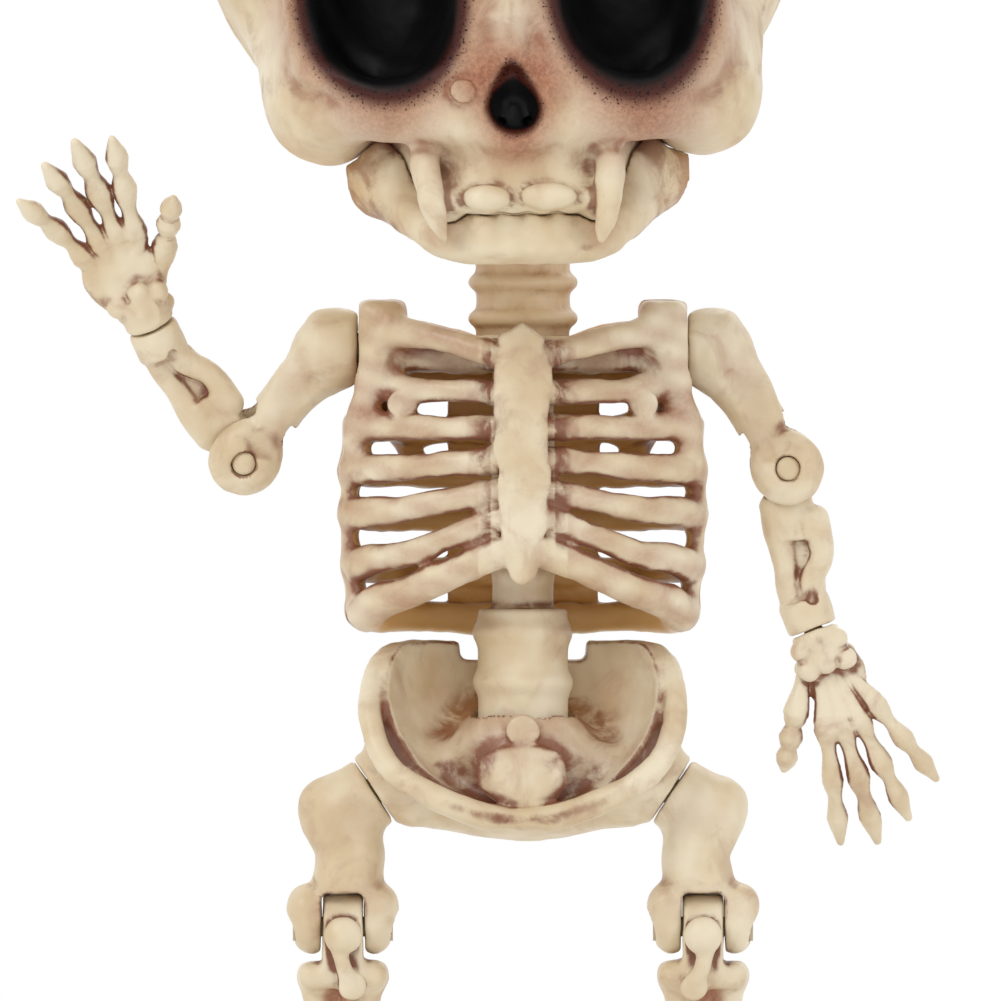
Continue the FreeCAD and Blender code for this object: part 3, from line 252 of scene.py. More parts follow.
def slab(at, half, rounding=1.0):
    """Box with rounded edges."""
    at, half = np.array(at, np.float32), np.array(half, np.float32)

    def distance(x, y, z):
        q = [np.abs(c - o) - (h - rounding) for c, o, h in zip((x, y, z), at, half)]
        out = length([np.maximum(c, 0) for c in q])
        return out + np.minimum(np.maximum(np.maximum(q[0], q[1]), q[2]), 0) - rounding
    return distance, at - half, at + half


def disc(start, end, radius, rounding=0.6):
    """Short cylinder between two points, with rounded rims."""
    a, b = np.array(start, float), np.array(end, float)
    along = b - a
    half = np.linalg.norm(along) / 2
    along, middle = along / (2 * half), (a + b) / 2

    def distance(x, y, z):
        p = [c - o for c, o in zip((x, y, z), middle)]
        t = p[0] * along[0] + p[1] * along[1] + p[2] * along[2]
        side = np.sqrt(np.maximum(p[0] ** 2 + p[1] ** 2 + p[2] ** 2 - t ** 2, 0)) - (radius - rounding)
        cap = np.abs(t) - (half - rounding)
        out = length([np.maximum(side, 0), np.maximum(cap, 0)])
        return out + np.minimum(np.maximum(side, cap), 0) - rounding
    low, high = box_of([a, b], radius)
    return distance, low, high


def wheel(at, axis, half, radius, rounding):
    """Disc about a place, with its faces half a thickness to each side along an axis."""
    reach = half * np.eye(3)[axis]
    return disc(at - reach, at + reach, radius, rounding)


def curve(points, radii):
    """Points and radii along a smooth line through some points."""
    points = np.array(points, float)
    radii = np.interp(np.linspace(0, 1, len(points)), np.linspace(0, 1, len(radii)), radii)
    knots = np.column_stack([points, radii])
    knots = np.vstack([2 * knots[0] - knots[1], knots, 2 * knots[-1] - knots[-2]])
    out = []
    for a, b, c, d in zip(knots, knots[1:], knots[2:], knots[3:]):
        for t in np.linspace(0, 1, CURVE_PARTS, endpoint=False):
            out.append(0.5 * (2 * b + (c - a) * t + (2 * a - 5 * b + 4 * c - d) * t ** 2
                              + (3 * b - a - 3 * c + d) * t ** 3))
    out.append(knots[-2])
    out = np.array(out)
    return out[:, :3], out[:, 3]


def bone(points, radii, flat=(1, 1, 1)):
    """Smooth bar through some points, as one shape."""
    line, sizes = curve(points, radii)
    pieces = [rod(a, b, float(r), float(s), flat)[0]
              for a, b, r, s in zip(line, line[1:], sizes, sizes[1:])]

    def distance(x, y, z):
        total = pieces[0](x, y, z)
        for piece in pieces[1:]:
            total = np.minimum(total, piece(x, y, z))
        return total
    low, high = box_of(line, float(max(sizes)) * np.array(flat))
    return distance, low, high


# ---- from clay to a piece ----

# how far a vertex moves to its neighbours' middle, and then back to the surface
EVEN_OUT, PULL_BACK = 0.6, 0.8
# how far above the surface the clay is felt for, in mm, and what a find adds to the darkening in hollows: the
# figure's brown wash together with painted shade from the clay nearby
WASH_AND_SHADE_PROBES = ((1.2, 0.6), (2.5, 0.6), (5.0, 0.5))


def near(points, at, radii):
    """1 at a place, falling to 0 at the radii."""
    gap = np.linalg.norm((points - np.array(at, float)) / np.array(radii, float), axis=1)
    return np.clip(1 - gap, 0, 1)


def ease(value, low, high):
    """0 below the low end, 1 above the high end, and smooth between."""
    part = np.clip((value - low) / (high - low), 0, 1)
    return part * part * (3 - 2 * part)


def piece(node, clay, place, body, slot, material, paint=None, lean=None, ending="sculpted"):
    """Skins the clay, paints it and makes it ride on its body in place of its CAD node."""
    vertices, quads = clay.skin()
    centres = np.zeros_like(vertices)
    uses = np.zeros(len(vertices))
    middle = vertices[quads].mean(axis=1)
    for corner in range(4):
        np.add.at(centres, quads[:, corner], middle)
        np.add.at(uses, quads[:, corner], 1)
    vertices = vertices + EVEN_OUT * (centres / np.maximum(uses, 1)[:, None] - vertices)
    vertices = vertices - PULL_BACK * clay.slope(vertices) * clay.sample(vertices)[:, None]
    normals = clay.slope(vertices)
    colours = np.zeros((len(vertices), 4), np.float32)
    # channel 0 grows darker where clay hems the surface in: the brown wash in the hollows and painted shade
    # from occlusion, both at once
    for reach, share in WASH_AND_SHADE_PROBES:
        colours[:, 0] += share * np.clip(1 - clay.sample(vertices + normals * reach) / reach - 0.08, 0, 1)
    if paint:
        paint(vertices, normals, colours)
    if lean:
        vertices = lean(vertices)
    matrix = np.array(place)
    world = vertices @ matrix[:3, :3].T + matrix[:3, 3]
    if np.linalg.det(matrix[:3, :3]) < 0:
        quads = quads[:, ::-1]
    name = f"{node}_{ending}"
    mesh = bpy.data.meshes.new(name)
    mesh.vertices.add(len(world))
    mesh.vertices.foreach_set("co", (world * MM).astype(np.float32).ravel())
    mesh.loops.add(quads.size)
    mesh.loops.foreach_set("vertex_index", quads.astype(np.int32).ravel())
    mesh.polygons.add(len(quads))
    mesh.polygons.foreach_set("loop_start", np.arange(0, quads.size, 4, dtype=np.int32))
    mesh.polygons.foreach_set("use_smooth", np.ones(len(quads), bool))
    mesh.update()
    layer = mesh.attributes.new("paint", "FLOAT_COLOR", "POINT")
    layer.data.foreach_set("color", np.clip(colours, 0, 1).ravel())
    mesh.materials.append(material)
    thing = bpy.data.objects.new(name, mesh)
    bpy.context.scene.collection.objects.link(thing)
    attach(thing, body)
    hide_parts(node)
    return thing


# ---- materials ----

class Shader:
    """A small helper that adds nodes to one material and links them."""

    def __init__(self, name):
        self.material = bpy.data.materials.new(name)
        self.material.use_nodes = True
        self.tree = self.material.node_tree
        self.surface = self.tree.nodes["Principled BSDF"].inputs

    def node(self, kind, inputs=(), **fields):
        made = self.tree.nodes.new(kind)
        for field, value in fields.items():
            setattr(made, field, value)
        for socket, value in dict(inputs).items():
            self.feed(made.inputs[socket], value)
        return made

    def feed(self, socket, value):
        if isinstance(value, bpy.types.NodeSocket):
            self.tree.links.new(value, socket)
        else:
            socket.default_value = value

    def noise(self, scale, detail=3.0, roughness=0.55, warp=0.0):
        place = self.node("ShaderNodeTexCoord").outputs["Object"]
        made = self.node("ShaderNodeTexNoise", {"Vector": place, "Scale": scale, "Detail": detail,
                                                "Roughness": roughness, "Distortion": warp})
        return made.outputs["Fac"]

    def ramp(self, value, low, high):
        made = self.node("ShaderNodeMapRange", {"Value": value, "From Min": low, "From Max": high})
        made.interpolation_type = "SMOOTHSTEP"
        return made.outputs["Result"]

    def plus(self, first, second):
        return self.node("ShaderNodeMath", {0: first, 1: second}, operation="ADD").outputs[0]

    def times(self, first, second):
        return self.node("ShaderNodeMath", {0: first, 1: second}, operation="MULTIPLY").outputs[0]

    def mix(self, factor, first, second):
        made = self.node("ShaderNodeMix", data_type="RGBA")
        for socket, value in ((0, factor), (6, first), (7, second)):
            self.feed(made.inputs[socket], value)
        return made.outputs[2]


def colour(red, green, blue):
    """A colour as seen on screen, from 0 to 255, for a shader."""
    def linear(value):
        value /= 255
        return value / 12.92 if value <= 0.04045 else ((value + 0.055) / 1.055) ** 2.4
    return (linear(red), linear(green), linear(blue), 1.0)


def bone_material(name, strength=1.0, specular=0.5):
    """Ivory plastic: paint holds the darkening in hollows (the brown wash and painted shade there), soot,
    rust and ochre at each point.
    """
    shade = Shader(name)
    paint = shade.node("ShaderNodeAttribute", attribute_name="paint")
    split = shade.node("ShaderNodeSeparateColor", {"Color": paint.outputs["Color"]})
    noise, ramp, mix, plus, times = shade.noise, shade.ramp, shade.mix, shade.plus, shade.times
    wash_and_shade, soot, rust = (split.outputs[k] for k in range(3))
    ochre = paint.outputs["Alpha"]
    cloud = ramp(noise(38, 3, 0.6), 0.35, 0.68)
    base = mix(cloud, colour(224, 211, 184), colour(204, 182, 146))
    blotch = ramp(noise(120, 4, 0.6, 0.6), 0.34, 0.66)
    grain = noise(900, 3, 0.65, 0.4)
    amount = times(wash_and_shade, plus(times(blotch, 1.1), 0.55))
    amount = plus(amount, times(plus(grain, -0.5), 0.25))
    amount = times(ramp(amount, 0.1, 0.85), strength)
    # the wash's brown, laid into hollows both as real wash and as painted shade
    base = mix(amount, base, colour(126, 78, 54))
    film = times(ramp(noise(75, 5, 0.62, 0.8), 0.48, 0.74), 0.5 * strength)
    base = mix(film, base, colour(172, 134, 110))
    base = mix(ochre, base, colour(214, 164, 92))
    reddish = mix(ramp(grain, 0.3, 0.7), colour(140, 84, 60), colour(174, 120, 92))
    base = mix(rust, base, reddish)
    speck = ramp(noise(1500, 2, 0.5), 0.60, 0.68)
    spray = plus(soot, times(speck, times(soot, 1.5)))
    fade = mix(ramp(spray, 0.02, 0.55), base, colour(70, 28, 20))
    base = mix(ramp(spray, 0.5, 0.9), fade, colour(1, 1, 1))
    shade.feed(shade.surface["Base Color"], base)
    shade.surface["Specular IOR Level"].default_value = specular
    gloss = ramp(soot, 0.5, 1.0)
    rough = plus(plus(times(blotch, 0.1), 0.34), times(gloss, 0.22))
    shade.feed(shade.surface["Roughness"], rough)
    height = plus(times(noise(420, 5, 0.6, 0.3), 0.6), times(grain, 0.35))
    bump = shade.node("ShaderNodeBump", {"Strength": 0.22, "Distance": 0.0006, "Height": height})
    shade.feed(shade.surface["Normal"], bump.outputs["Normal"])
    return shade.material


def plain_material(name, tint, roughness, metallic=0.0):
    """Moulded or plated small part with faint mottling."""
    shade = Shader(name)
    cloud = shade.noise(260, 3, 0.6)
    darker = tuple(value * 0.78 for value in tint)
    shade.feed(shade.surface["Base Color"], shade.mix(cloud, colour(*tint), colour(*darker)))
    shade.feed(shade.surface["Roughness"], shade.plus(shade.times(cloud, 0.15), roughness))
    shade.surface["Metallic"].default_value = metallic
    bump = shade.node("ShaderNodeBump", {"Strength": 0.15, "Distance": 0.0003, "Height": shade.noise(900)})
    shade.feed(shade.surface["Normal"], bump.outputs["Normal"])
    return shade.material


BONE = bone_material("bone_plastic")
SKULL = bone_material("skull_plastic", strength=0.8, specular=0.22)
PEG = plain_material("peg_plastic", (218, 203, 172), 0.42)
STEEL = plain_material("screw_steel", (176, 176, 180), 0.3, 1.0)

# ---- head: u to the figure's left, y back, v up, from the neck ball ----

def frame_of(origin, right, back, up):
    """Matrix from a bone's own axes, in mm, to the model's."""
    return Matrix.Translation(origin) @ Matrix((right, back, up)).transposed().to_4x4()


right, up = joint_axis("jaw_open"), joint_axis("head_turn")
HEAD = frame_of(joint_place("head_tilt"), right, up.cross(right), up)
EYE, EYE_SIZE = (31, -66, 64), (17, 26, 22.6)
BITE, BITE_GAP, SEAM = 8.0, 0.5, 0.35
HINGE_Y, HINGE_V, RAMUS_IN, RAMUS_OUT = -8, 32, 37, 42
MOUTH_LEAN = 0.055
FANG = bone([(23, -60.5, 23), (23, -65.3, 17.5), (22, -67.6, 11), (19.3, -66.8, 1.2)], (3, 3.9, 3.4, 1))
UPPER_TEETH = (((-8.1, -67, 11.8), (6.1, 4.2, 3.1)), ((7.2, -67, 12.1), (7.1, 4.2, 3.4)))


def skull_clay():
    clay = Clay((0, -76, -4), (79, 84, 170), 0.95)
    clay.add(egg((0, 6, 92), (76.5, 76, 76)), 1)
    clay.add(egg((0, -24, 42), (36, 43, 34)), 12)
    clay.add(egg((46.5, -33, 35), (14.4, 19, 13)), 7)
    clay.add(egg((51, -30, 50), (13, 22, 14)), 10)
    clay.add(bone([(14, -64, 31), (30, -59, 33), (44, -46, 35)], (6, 7.2, 8)), 7)
    clay.add(egg((0, -34, 21), (27, 33, 16)), 9)
    clay.add(bone([(0, -62, 12.6), (10, -61.8, 12.6), (19, -58.5, 12.6)], (5.2, 5.2, 4.4)), 5)
    clay.add(bone([(8, -68, 82), (22, -69, 88), (38, -65, 88), (50, -56, 80), (53, -52, 66),
                   (49, -53, 50)], (4, 5, 5, 4.5, 4, 4)), 9)
    clay.add(bone([(11, -68, 70), (10, -66, 56), (13, -64, 44), (30, -63, 40), (46, -57, 44)],
                  (4, 4, 4, 4.5, 4)), 8)
    clay.add(bone([(0, -67, 74), (0, -69, 58), (0, -71, 47)], (5, 4.5, 3)), 8)
    clay.add(bone([(6.5, -67, 45), (8.8, -67.5, 36), (7, -67.5, 28), (0, -68, 26)], (2.2, 2.4, 2.4, 2.2)), 4)
    clay.cut(egg((69, -44, 60), (9, 20, 17)), 12)
    clay.cut(egg(EYE, EYE_SIZE), 3.2)
    clay.cut(egg((24, -64, 62), (8, 22, 10)), 3)
    clay.cut(egg((0, -72, 34.2), (7, 9, 6.2)), 1.4)
    clay.cut(rod((0, -70, 36), (0, -71, 45), 5, 0.8, (1, 1.6, 1)), 1.4)
    clay.cut(ball((3.6, -63.5, 30.5), 1.3), 0.4)
    clay.add(rod((0, -64, 27), (0, -63, 34), 1.2), 2)
    clay.add(FANG, 3.2)
    clay.cut(rod((29.4, -67, 28), (28.6, -67, 12), 2.2, 2.8), 3)
    clay.add(disc((0, 0, 6), (0, 0, 22), 13, 1), 3)
    clay.cut(slab(((RAMUS_IN + RAMUS_OUT) / 2, HINGE_Y, 12), ((RAMUS_OUT - RAMUS_IN) / 2 + 1.4, 14.5, 34), 1))
    clay.cut(disc((0, 0, 0), (0, 0, 14), 8.6, 0.4))
    return clay


def split_mouth(clay):
    """Takes away what lies in front of the neck and below the bite, but not the fangs."""
    where, grids = clay.window((-80, -80, -8), (80, 90, BITE + 8))
    below = np.maximum(grids[2] - BITE - BITE_GAP / 2 - 0.35 * np.sin(grids[0] * 0.9), grids[1] + 14.0)
    clay.field[where] = np.maximum(clay.field[where], -below)
    for side in SIDES:
        clay.add(bone([(side * 22.1, -67.3, 12), (side * 21, -67.6, 7), (side * 19.3, -66.8, 1.4)],
                      (3.4, 2.8, 1)), 0.5)
        clay.add(egg((side * 18.5, -59, 10.5), (5, 4, 4.5)), 1)


def skull():
    clay = skull_clay().mirrored()
    split_mouth(clay)
    for at, radii in UPPER_TEETH:
        clay.cut(egg((at[0], at[1] - 2, at[2]), tuple(r + 0.9 for r in radii)), 0.8)
        clay.add(egg((at[0], at[1] - 0.6, at[2]), radii), 0.4)
    for side in SIDES:
        clay.add(egg((side * 16.5, -64, 11.5), (3.2, 3.4, 2.8)), 0.8)
        clay.cut(bone([(side * 18.6, -70, 16.4), (side * 17, -69, 15), (side * 14.8, -70, 13.2),
                       (side * 13.6, -70, 9)], (1, 0.9, 0.8, 0.9)), 0.5)
    clay.add(disc((-12.3, -71.6, 38.4), (-12.3, -60, 38.4), 3.0, 0.5), 0.5)
    clay.roughen(0.32, 7, 11)
    clay.roughen(0.12, 2.6, 12)
    return clay


def paint_skull(points, normals, colours):
    for side in SIDES:
        off = points - np.array((side * EYE[0], 0, EYE[2]))
        ring = np.hypot(off[:, 0] / EYE_SIZE[0], off[:, 2] / EYE_SIZE[2])
        front = points[:, 1] < -15
        colours[:, 1] += front * (1 - ease(ring, 0.92, 1.5))
        colours[:, 2] += front * 0.8 * (1 - ease(ring, 1.1, 2.0))
        cheek = near(points, (side * 34, -62, 26), (26, 30, 14))
        colours[:, 2] += (0.55 if side > 0 else 0.3) * cheek
        colours[:, 3] += 0.5 * near(points, (side * 52, -20, 22), (14, 30, 14))
    nose = np.hypot(points[:, 0] / (7 - 0.3 * np.maximum(points[:, 2] - 34, 0)), (points[:, 2] - 36.5) / 9.2)
    deep = ease(-points[:, 1], 69, 65.5)
    colours[:, 1] += (points[:, 1] < -52) * (1 - ease(nose, 0.85, 1.3)) * np.maximum(deep, 0.5)
    halo = np.hypot(points[:, 0] / 9.5, (points[:, 2] - 37) / 12)
    colours[:, 2] += (points[:, 1] < -50) * 0.8 * (1 - ease(halo, 0.7, 1.7))
    teeth = near(points, (0, -68, 12), (17, 14, 5))
    # less of the brown wash and painted shade from the hollows on the teeth and beside the fangs
    colours[:, 0] *= 1 - 0.35 * teeth
    for side in SIDES:
        colours[:, 0] *= 1 - 0.85 * near(points, (side * 18, -66, 21), (9, 12, 10))
    colours[:, 2] += 0.35 * near(points, (0, -66, 22), (14, 12, 9))


def jaw_clay():
    clay = Clay((0, -70, -8), (52, 6, 42), 0.8)
    clay.add(bone([(0, -58.5, 2.4), (12, -57.5, 2.2), (21, -52, 4), (30, -38, 11), (37.5, -22, 15),
                   (39.5, -9, 18)], (6, 6, 5.6, 4.6, 4.4, 3.2)), 1)
    clay.add(bone([(0, -57.5, 0), (13, -55.5, 0), (20, -51, 1.4)], (3.9, 3.8, 3)), 3)
    clay.add(bone([(26, -45, 9), (31.5, -38, 15), (36.5, -28, 20), (39.5, -14, 28)], (4, 5.4, 6, 4),
                  (1, 0.6, 1.2)), 4)
    clay.add(bone([(29.5, -43, 17), (34.5, -37, 21), (39.5, -27, 22)], (3.6, 4, 4), (1, 0.6, 1.8)), 3)
    clay.cut(bone([(0, -70, 3), (11, -69, 3), (17, -64, 3)], (5.4, 5.2, 4)), 3)
    clay.add(slab((39.5, HINGE_Y, 22), (2.5, 7.4, 11), 2), 2)
    clay.add(disc((RAMUS_IN, HINGE_Y, HINGE_V), (RAMUS_OUT, HINGE_Y, HINGE_V), 7, 1), 2)
    for x, y in ((3.2, -61.6), (9.4, -60.8), (15, -58)):
        clay.add(egg((x, y, 6.2), (2.9, 2.4, 3.4)), 1.4)
    return clay


def jaw(upper):
    clay = jaw_clay().mirrored()
    where, grids = clay.window((-80, -80, -8), (80, 90, 60))
    top = BITE - BITE_GAP / 2 + 0.35 * np.sin(grids[0] * 0.9)
    above = np.maximum(top - grids[2], -(grids[1] + 30))
    clay.field[where] = np.maximum(clay.field[where], -above)
    clay.roughen(0.28, 6, 21)
    clay.roughen(0.1, 2.4, 22)
    corners = np.stack(np.meshgrid(*clay.axes, indexing="ij"), axis=-1).reshape(-1, 3)
    close = np.abs(clay.field).ravel() < 6
    gap = np.full(len(corners), FAR)
    gap[close] = upper.sample(corners[close])
    clay.field = np.maximum(clay.field, SEAM + 0.1 - gap.reshape(clay.field.shape))
    clay.bore((-60, HINGE_Y, HINGE_V), (60, HINGE_Y, HINGE_V), 2.06, 0.1)
    return clay


def paint_jaw(points, normals, colours):
    for side in SIDES:
        colours[:, 3] += 0.55 * near(points, (side * 38, -20, 18), (16, 26, 20))
        colours[:, 2] += 0.5 * near(points, (side * 19, -60, 4), (6, 12, 7))


def level_mouth(points):
    """The lower face leans less than the head does; the jaw's hinge keeps its place."""
    front = ease(-points[:, 1], 16, 44)
    low = 1 - ease(points[:, 2], 32, 58)
    return points - np.outer(MOUTH_LEAN * points[:, 0] * front * low, (0, 0, 1))


whole_skull = skull()
back_side = np.broadcast_to(whole_skull.axes[1][None, :, None], whole_skull.field.shape)
for node, side in (("skull_front", 1), ("skull_back", -1)):
    half = whole_skull.copy()
    half.field = np.maximum(half.field, side * back_side + SEAM / 2)
    for x in (-1, 1):
        half.bore((x * 30, HINGE_Y, HINGE_V), (x * 80, HINGE_Y, HINGE_V), 3.35, 0.1)
    piece(node, half, HEAD, "head", "skull_plastic", SKULL, paint_skull, level_mouth)
piece("jaw", jaw(whole_skull), HEAD, "jaw", "skull_plastic", SKULL, paint_jaw, level_mouth)

# ---- chest: half of it, from the breastbone to the figure's left side ----

CHEST_Z, CHEST_X, CHEST_Y, CHEST_TALL = 165, 46, 27, 75
SHOULDER_Z, SHOULDER_FACE, SHOULDER_R = 205, 41, 12
# height of each rib's middle at the breastbone, half way out and at the side, and its radius
RIB_ROWS = ((202.0, 207.5, 209.5, 3.3), (193.8, 194.5, 199.0, 3.4), (185.2, 185.2, 186.0, 3.5),
            (177.0, 175.2, 174.6, 3.7), (169.3, 165.0, 163.6, 3.6), (162.6, 153.8, 150.8, 3.8),
            (154.2, 144.6, 139.0, 4.5))
SPINE_CORE, NECK_R, RIB_INSET = 8, 13.7, 3.2
# the screws' x and z, the same on both sides
SCREW_PLACES = ((30, 191), (25, 146))


def chest_point(angle, z):
    """Point on the barrel of the chest, at an angle from the middle."""
    shrink = math.sqrt(max(1 - ((z - CHEST_Z) / CHEST_TALL) ** 2, 0.05))
    turn = math.radians(angle)
    wide, deep = CHEST_X * shrink - RIB_INSET, CHEST_Y * shrink - RIB_INSET
    return math.sin(turn) * wide, -math.cos(turn) * deep, z


def rib_line(row, facing):
    inner, middle, side, radius = row
    stops = ((8, inner), (24, (inner + middle) / 2), (42, middle), (62, (middle + side) / 2), (78, side),
             (94, side))
    line = []
    for angle, z in stops:
        x, y, z = chest_point(angle, z)
        line.append((x, y * facing, z))
    return bone(line, [radius * share for share in (1, 0.86, 0.9, 1.04, 1.08, 1)], (1, 0.8, 1))


def chest_clay(facing):
    """Half of one chest shell; facing is 1 in front and -1 at the back."""
    low_y, high_y = (-32, 1) if facing > 0 else (-1, 32)
    clay = Clay((0, low_y, 126), (54, high_y, 222), 0.62)
    rows = RIB_ROWS
    if facing < 0:
        rows = [(side - 2, side - 1, side, radius) for _, _, side, radius in RIB_ROWS]
    for row in rows[2:]:
        clay.add(rib_line(row, facing), 1.6)
    clay.add(rib_line(rows[1], facing), 2.2)
    front = -12.0 * facing
    clay.add(bone([(4, -24.5 * facing, 202.5), (14, -21.5 * facing, 205.5), (24, -17 * facing, 208),
                   (34, front * 0.8, 209)], (3.4, 3.2, 3.4, 4.2), (1, 0.9, 1)), 2.5)
    clay.add(slab((35.2, 0, 206.5), (5.8, 12, 10.3), 3), 2.5)
    clay.add(disc((29.5, 0, SHOULDER_Z), (SHOULDER_FACE, 0, SHOULDER_Z), SHOULDER_R, 1.2), 1.5)
    clay.add(bone([(36, front * 0.75, 198), (39, front * 0.8, 192), (41.5, front * 0.7, 184),
                   (41.5, front * 0.5, 176)], (3.6, 3.4, 3.2, 2.8)), 3.5)
    clay.add(bone([(33, front, 212), (36, front * 1.02, 205), (38, front * 0.9, 197)], (2.6, 3, 3)), 3)
    clay.cut(bone([(31, front * 1.25, 200), (33, front * 1.3, 203.6), (36, front * 1.3, 204)],
                  (1.1, 1.1)), 1.2)
    clay.add(bone([(42.4, -2 * facing, 186), (43.4, -2 * facing, 163), (41.6, -2 * facing, 141)],
                  (2.4, 2.2, 2.4), (1, 1.5, 1)), 2)
    if facing > 0:
        clay.add(bone([(0, -26.2, 208.5), (0, -27.2, 200), (0, -27.6, 170), (0, -26, 155)],
                      (2.5, 2.6, 2.6, 2.2), (2.55, 0.8, 1.3)), 0.8)
        for row in RIB_ROWS[1:]:
            clay.add(egg((6, -24.8, row[0]), (3.4, 2.2, row[3] * 0.8)), 1)
        clay.add(egg((0, -25.4, 151), (4, 2.2, 5)), 1.5)
        clay.cut(egg((5, -26.5, 213), (3.4, 4, 4)), 2)
    else:
        wide = egg((0, 0, CHEST_Z), (CHEST_X, CHEST_Y, CHEST_TALL))
        thin = egg((0, 0, CHEST_Z), (CHEST_X - 2.6, CHEST_Y - 2.6, CHEST_TALL - 2.6))
        shell = slab((0, 20, 170), (19, 12, 34), 2)

        def plate(x, y, z):
            return np.maximum(np.maximum(wide[0](x, y, z), -thin[0](x, y, z)), shell[0](x, y, z))
        clay.add((plate, shell[1], shell[2]), 2)
        for row in rows[1:]:
            clay.add(egg((0, 25.4, row[0]), (3.6, 4.2, 3.8)), 2.5)
            clay.add(egg((7.5, 24.6, row[0] + 1), (3.6, 2.4, 2.4)), 2)
        clay.add(bone([(20, 20, 204), (34, 17, 196), (27, 22.5, 176)], (2.6, 3, 2), (1.4, 0.9, 1.4)), 5)
        clay.cut(bone([(25, 25.5, 196), (29, 24, 190)], (3, 2)), 3)
    clay.add(disc((0, 0, 199), (0, 0, 208), 19.5, 1.5), 1)
    clay.add(slab((16, 0, 203.5), (16, 11, 4.3), 1.5), 1.5)
    for x, z in SCREW_PLACES:
        clay.add(disc((x, 0, z), (x, -17 * facing, z), 3.6, 0.5), 1)
    clay.bore((0, 0, 190), (0, 0, 230), NECK_R + 0.1, 0.3)
    clay.bore((0, 0, 201), (0, 0, 205), 16.1, 0.2)
    clay.bore((0, 0, 120), (0, 0, 201), SPINE_CORE + 0.4, 0.3)
    clay.bore((0, 0, 120), (0, 0, 140.3), 12.9, 0.3)
    clay.bore((33, 0, SHOULDER_Z), (60, 0, SHOULDER_Z), 4.1, 0.2)
    clay.bore((32.6, 0, SHOULDER_Z), (36.6, 0, SHOULDER_Z), 7.5, 0.2)
    clay.bore((SHOULDER_FACE, 0, SHOULDER_Z), (60, 0, SHOULDER_Z), SHOULDER_R + 0.6, 0.2)
    return clay


def paint_chest(points, normals, colours):
    inward = normals[:, 0] * points[:, 0] / CHEST_X + normals[:, 1] * points[:, 1] / CHEST_Y
    colours[:, 3] += 0.85 * ease(-inward, 0.05, 0.5)
    colours[:, 3] += 0.5 * (np.abs(points[:, 1]) < 6) * (points[:, 2] > 198) * (np.abs(points[:, 0]) < 28)
    streak = 0.5 + 0.5 * np.sin(points[:, 0] * 0.33 + points[:, 2] * 0.21) * np.sin(points[:, 2] * 0.8 + 1.3)
    colours[:, 2] += 0.42 * streak * (np.abs(points[:, 0]) > 11) * ease(-points[:, 1], -4, 10)
    breast = (np.abs(points[:, 0]) < 8) & (points[:, 1] < -22)
    # less of the brown wash and painted shade from the hollows on the breastbone
    colours[:, 0] *= np.where(breast, 0.55, 1)
    for side in SIDES:
        colours[:, 2] += 0.5 * near(points, (side * 40, -10, 190), (9, 12, 9))


def cut_screws(clay):
    """Shanks and head seats of the four screws, from the back."""
    for x, z in SCREW_PLACES:
        for side in SIDES:
            clay.bore((side * x, -10, z), (side * x, 60, z), 1.55, 0.2)
            clay.bore((side * x, 9.2, z), (side * x, 60, z), 3.1, 0.4)


SEAM_Y = 0.12
for node, facing in (("ribcage_front", 1), ("ribcage_back", -1)):
    clay = chest_clay(facing).mirrored()
    clay.roughen(0.34, 6, 31 + facing)
    clay.roughen(0.14, 2.4, 35 + facing)
    depth = clay.axes[1][None, :, None]
    clay.field = np.maximum(clay.field, facing * np.broadcast_to(depth, clay.field.shape) + SEAM_Y)
    cut_screws(clay)
    piece(node, clay, BODY, "torso", "bone_plastic", BONE, paint_chest)


# ---- spine and pelvis ----

def spine_clay():
    clay = Clay((-19, -19, 100), (19, 19, 234), 0.6)
    clay.add(disc((0, 0, 200), (0, 0, 232), NECK_R - 2, 0.8), 0.5)
    for z in (212.5, 221.5, 229.5):
        clay.add(egg((0, 0, z), (NECK_R, NECK_R, 4.6)), 1)
    clay.add(disc((0, 0, 201), (0, 0, 205), 16, 0.2), 0.3)
    clay.add(disc((0, 0, 103), (0, 0, 203), SPINE_CORE - 0.4, 0.5), 0.5)
    clay.add(disc((0, 0, 104), (0, 0, 140), 11.2, 1), 1)
    for z in (109, 121.5, 134):
        clay.add(egg((0, 0, z), (12.5, 12.5, 5.8)), 1.6)
    for z in (149, 160, 171, 182, 193):
        clay.add(egg((0, -1, z), (7.6, 7.6, 4.6)), 1.4)
    clay.cut(ball((0, 0, 230), 10.06), 0.2)
    clay.roughen(0.16, 6, 41)
    return clay


def paint_spine(points, normals, colours):
    colours[:, 3] += 0.4 * ease(points[:, 2], 150, 205) * 0.8
    colours[:, 2] += 0.25 * near(points, (0, -12, 226), (16, 16, 8))


piece("spine", spine_clay(), BODY, "torso", "bone_plastic", BONE, paint_spine)

HIP = (37, 0, 94.5)
HIP_SLANT = math.radians(33)
HIP_OUT = Vector((math.cos(HIP_SLANT), 0, -math.sin(HIP_SLANT)))
HIP_R = 9.3


def hip_point(reach):
    """Point on the hip's slanted stud, from the face between pelvis and thigh."""
    return tuple(HIP[k] + reach * HIP_OUT[k] for k in range(3))


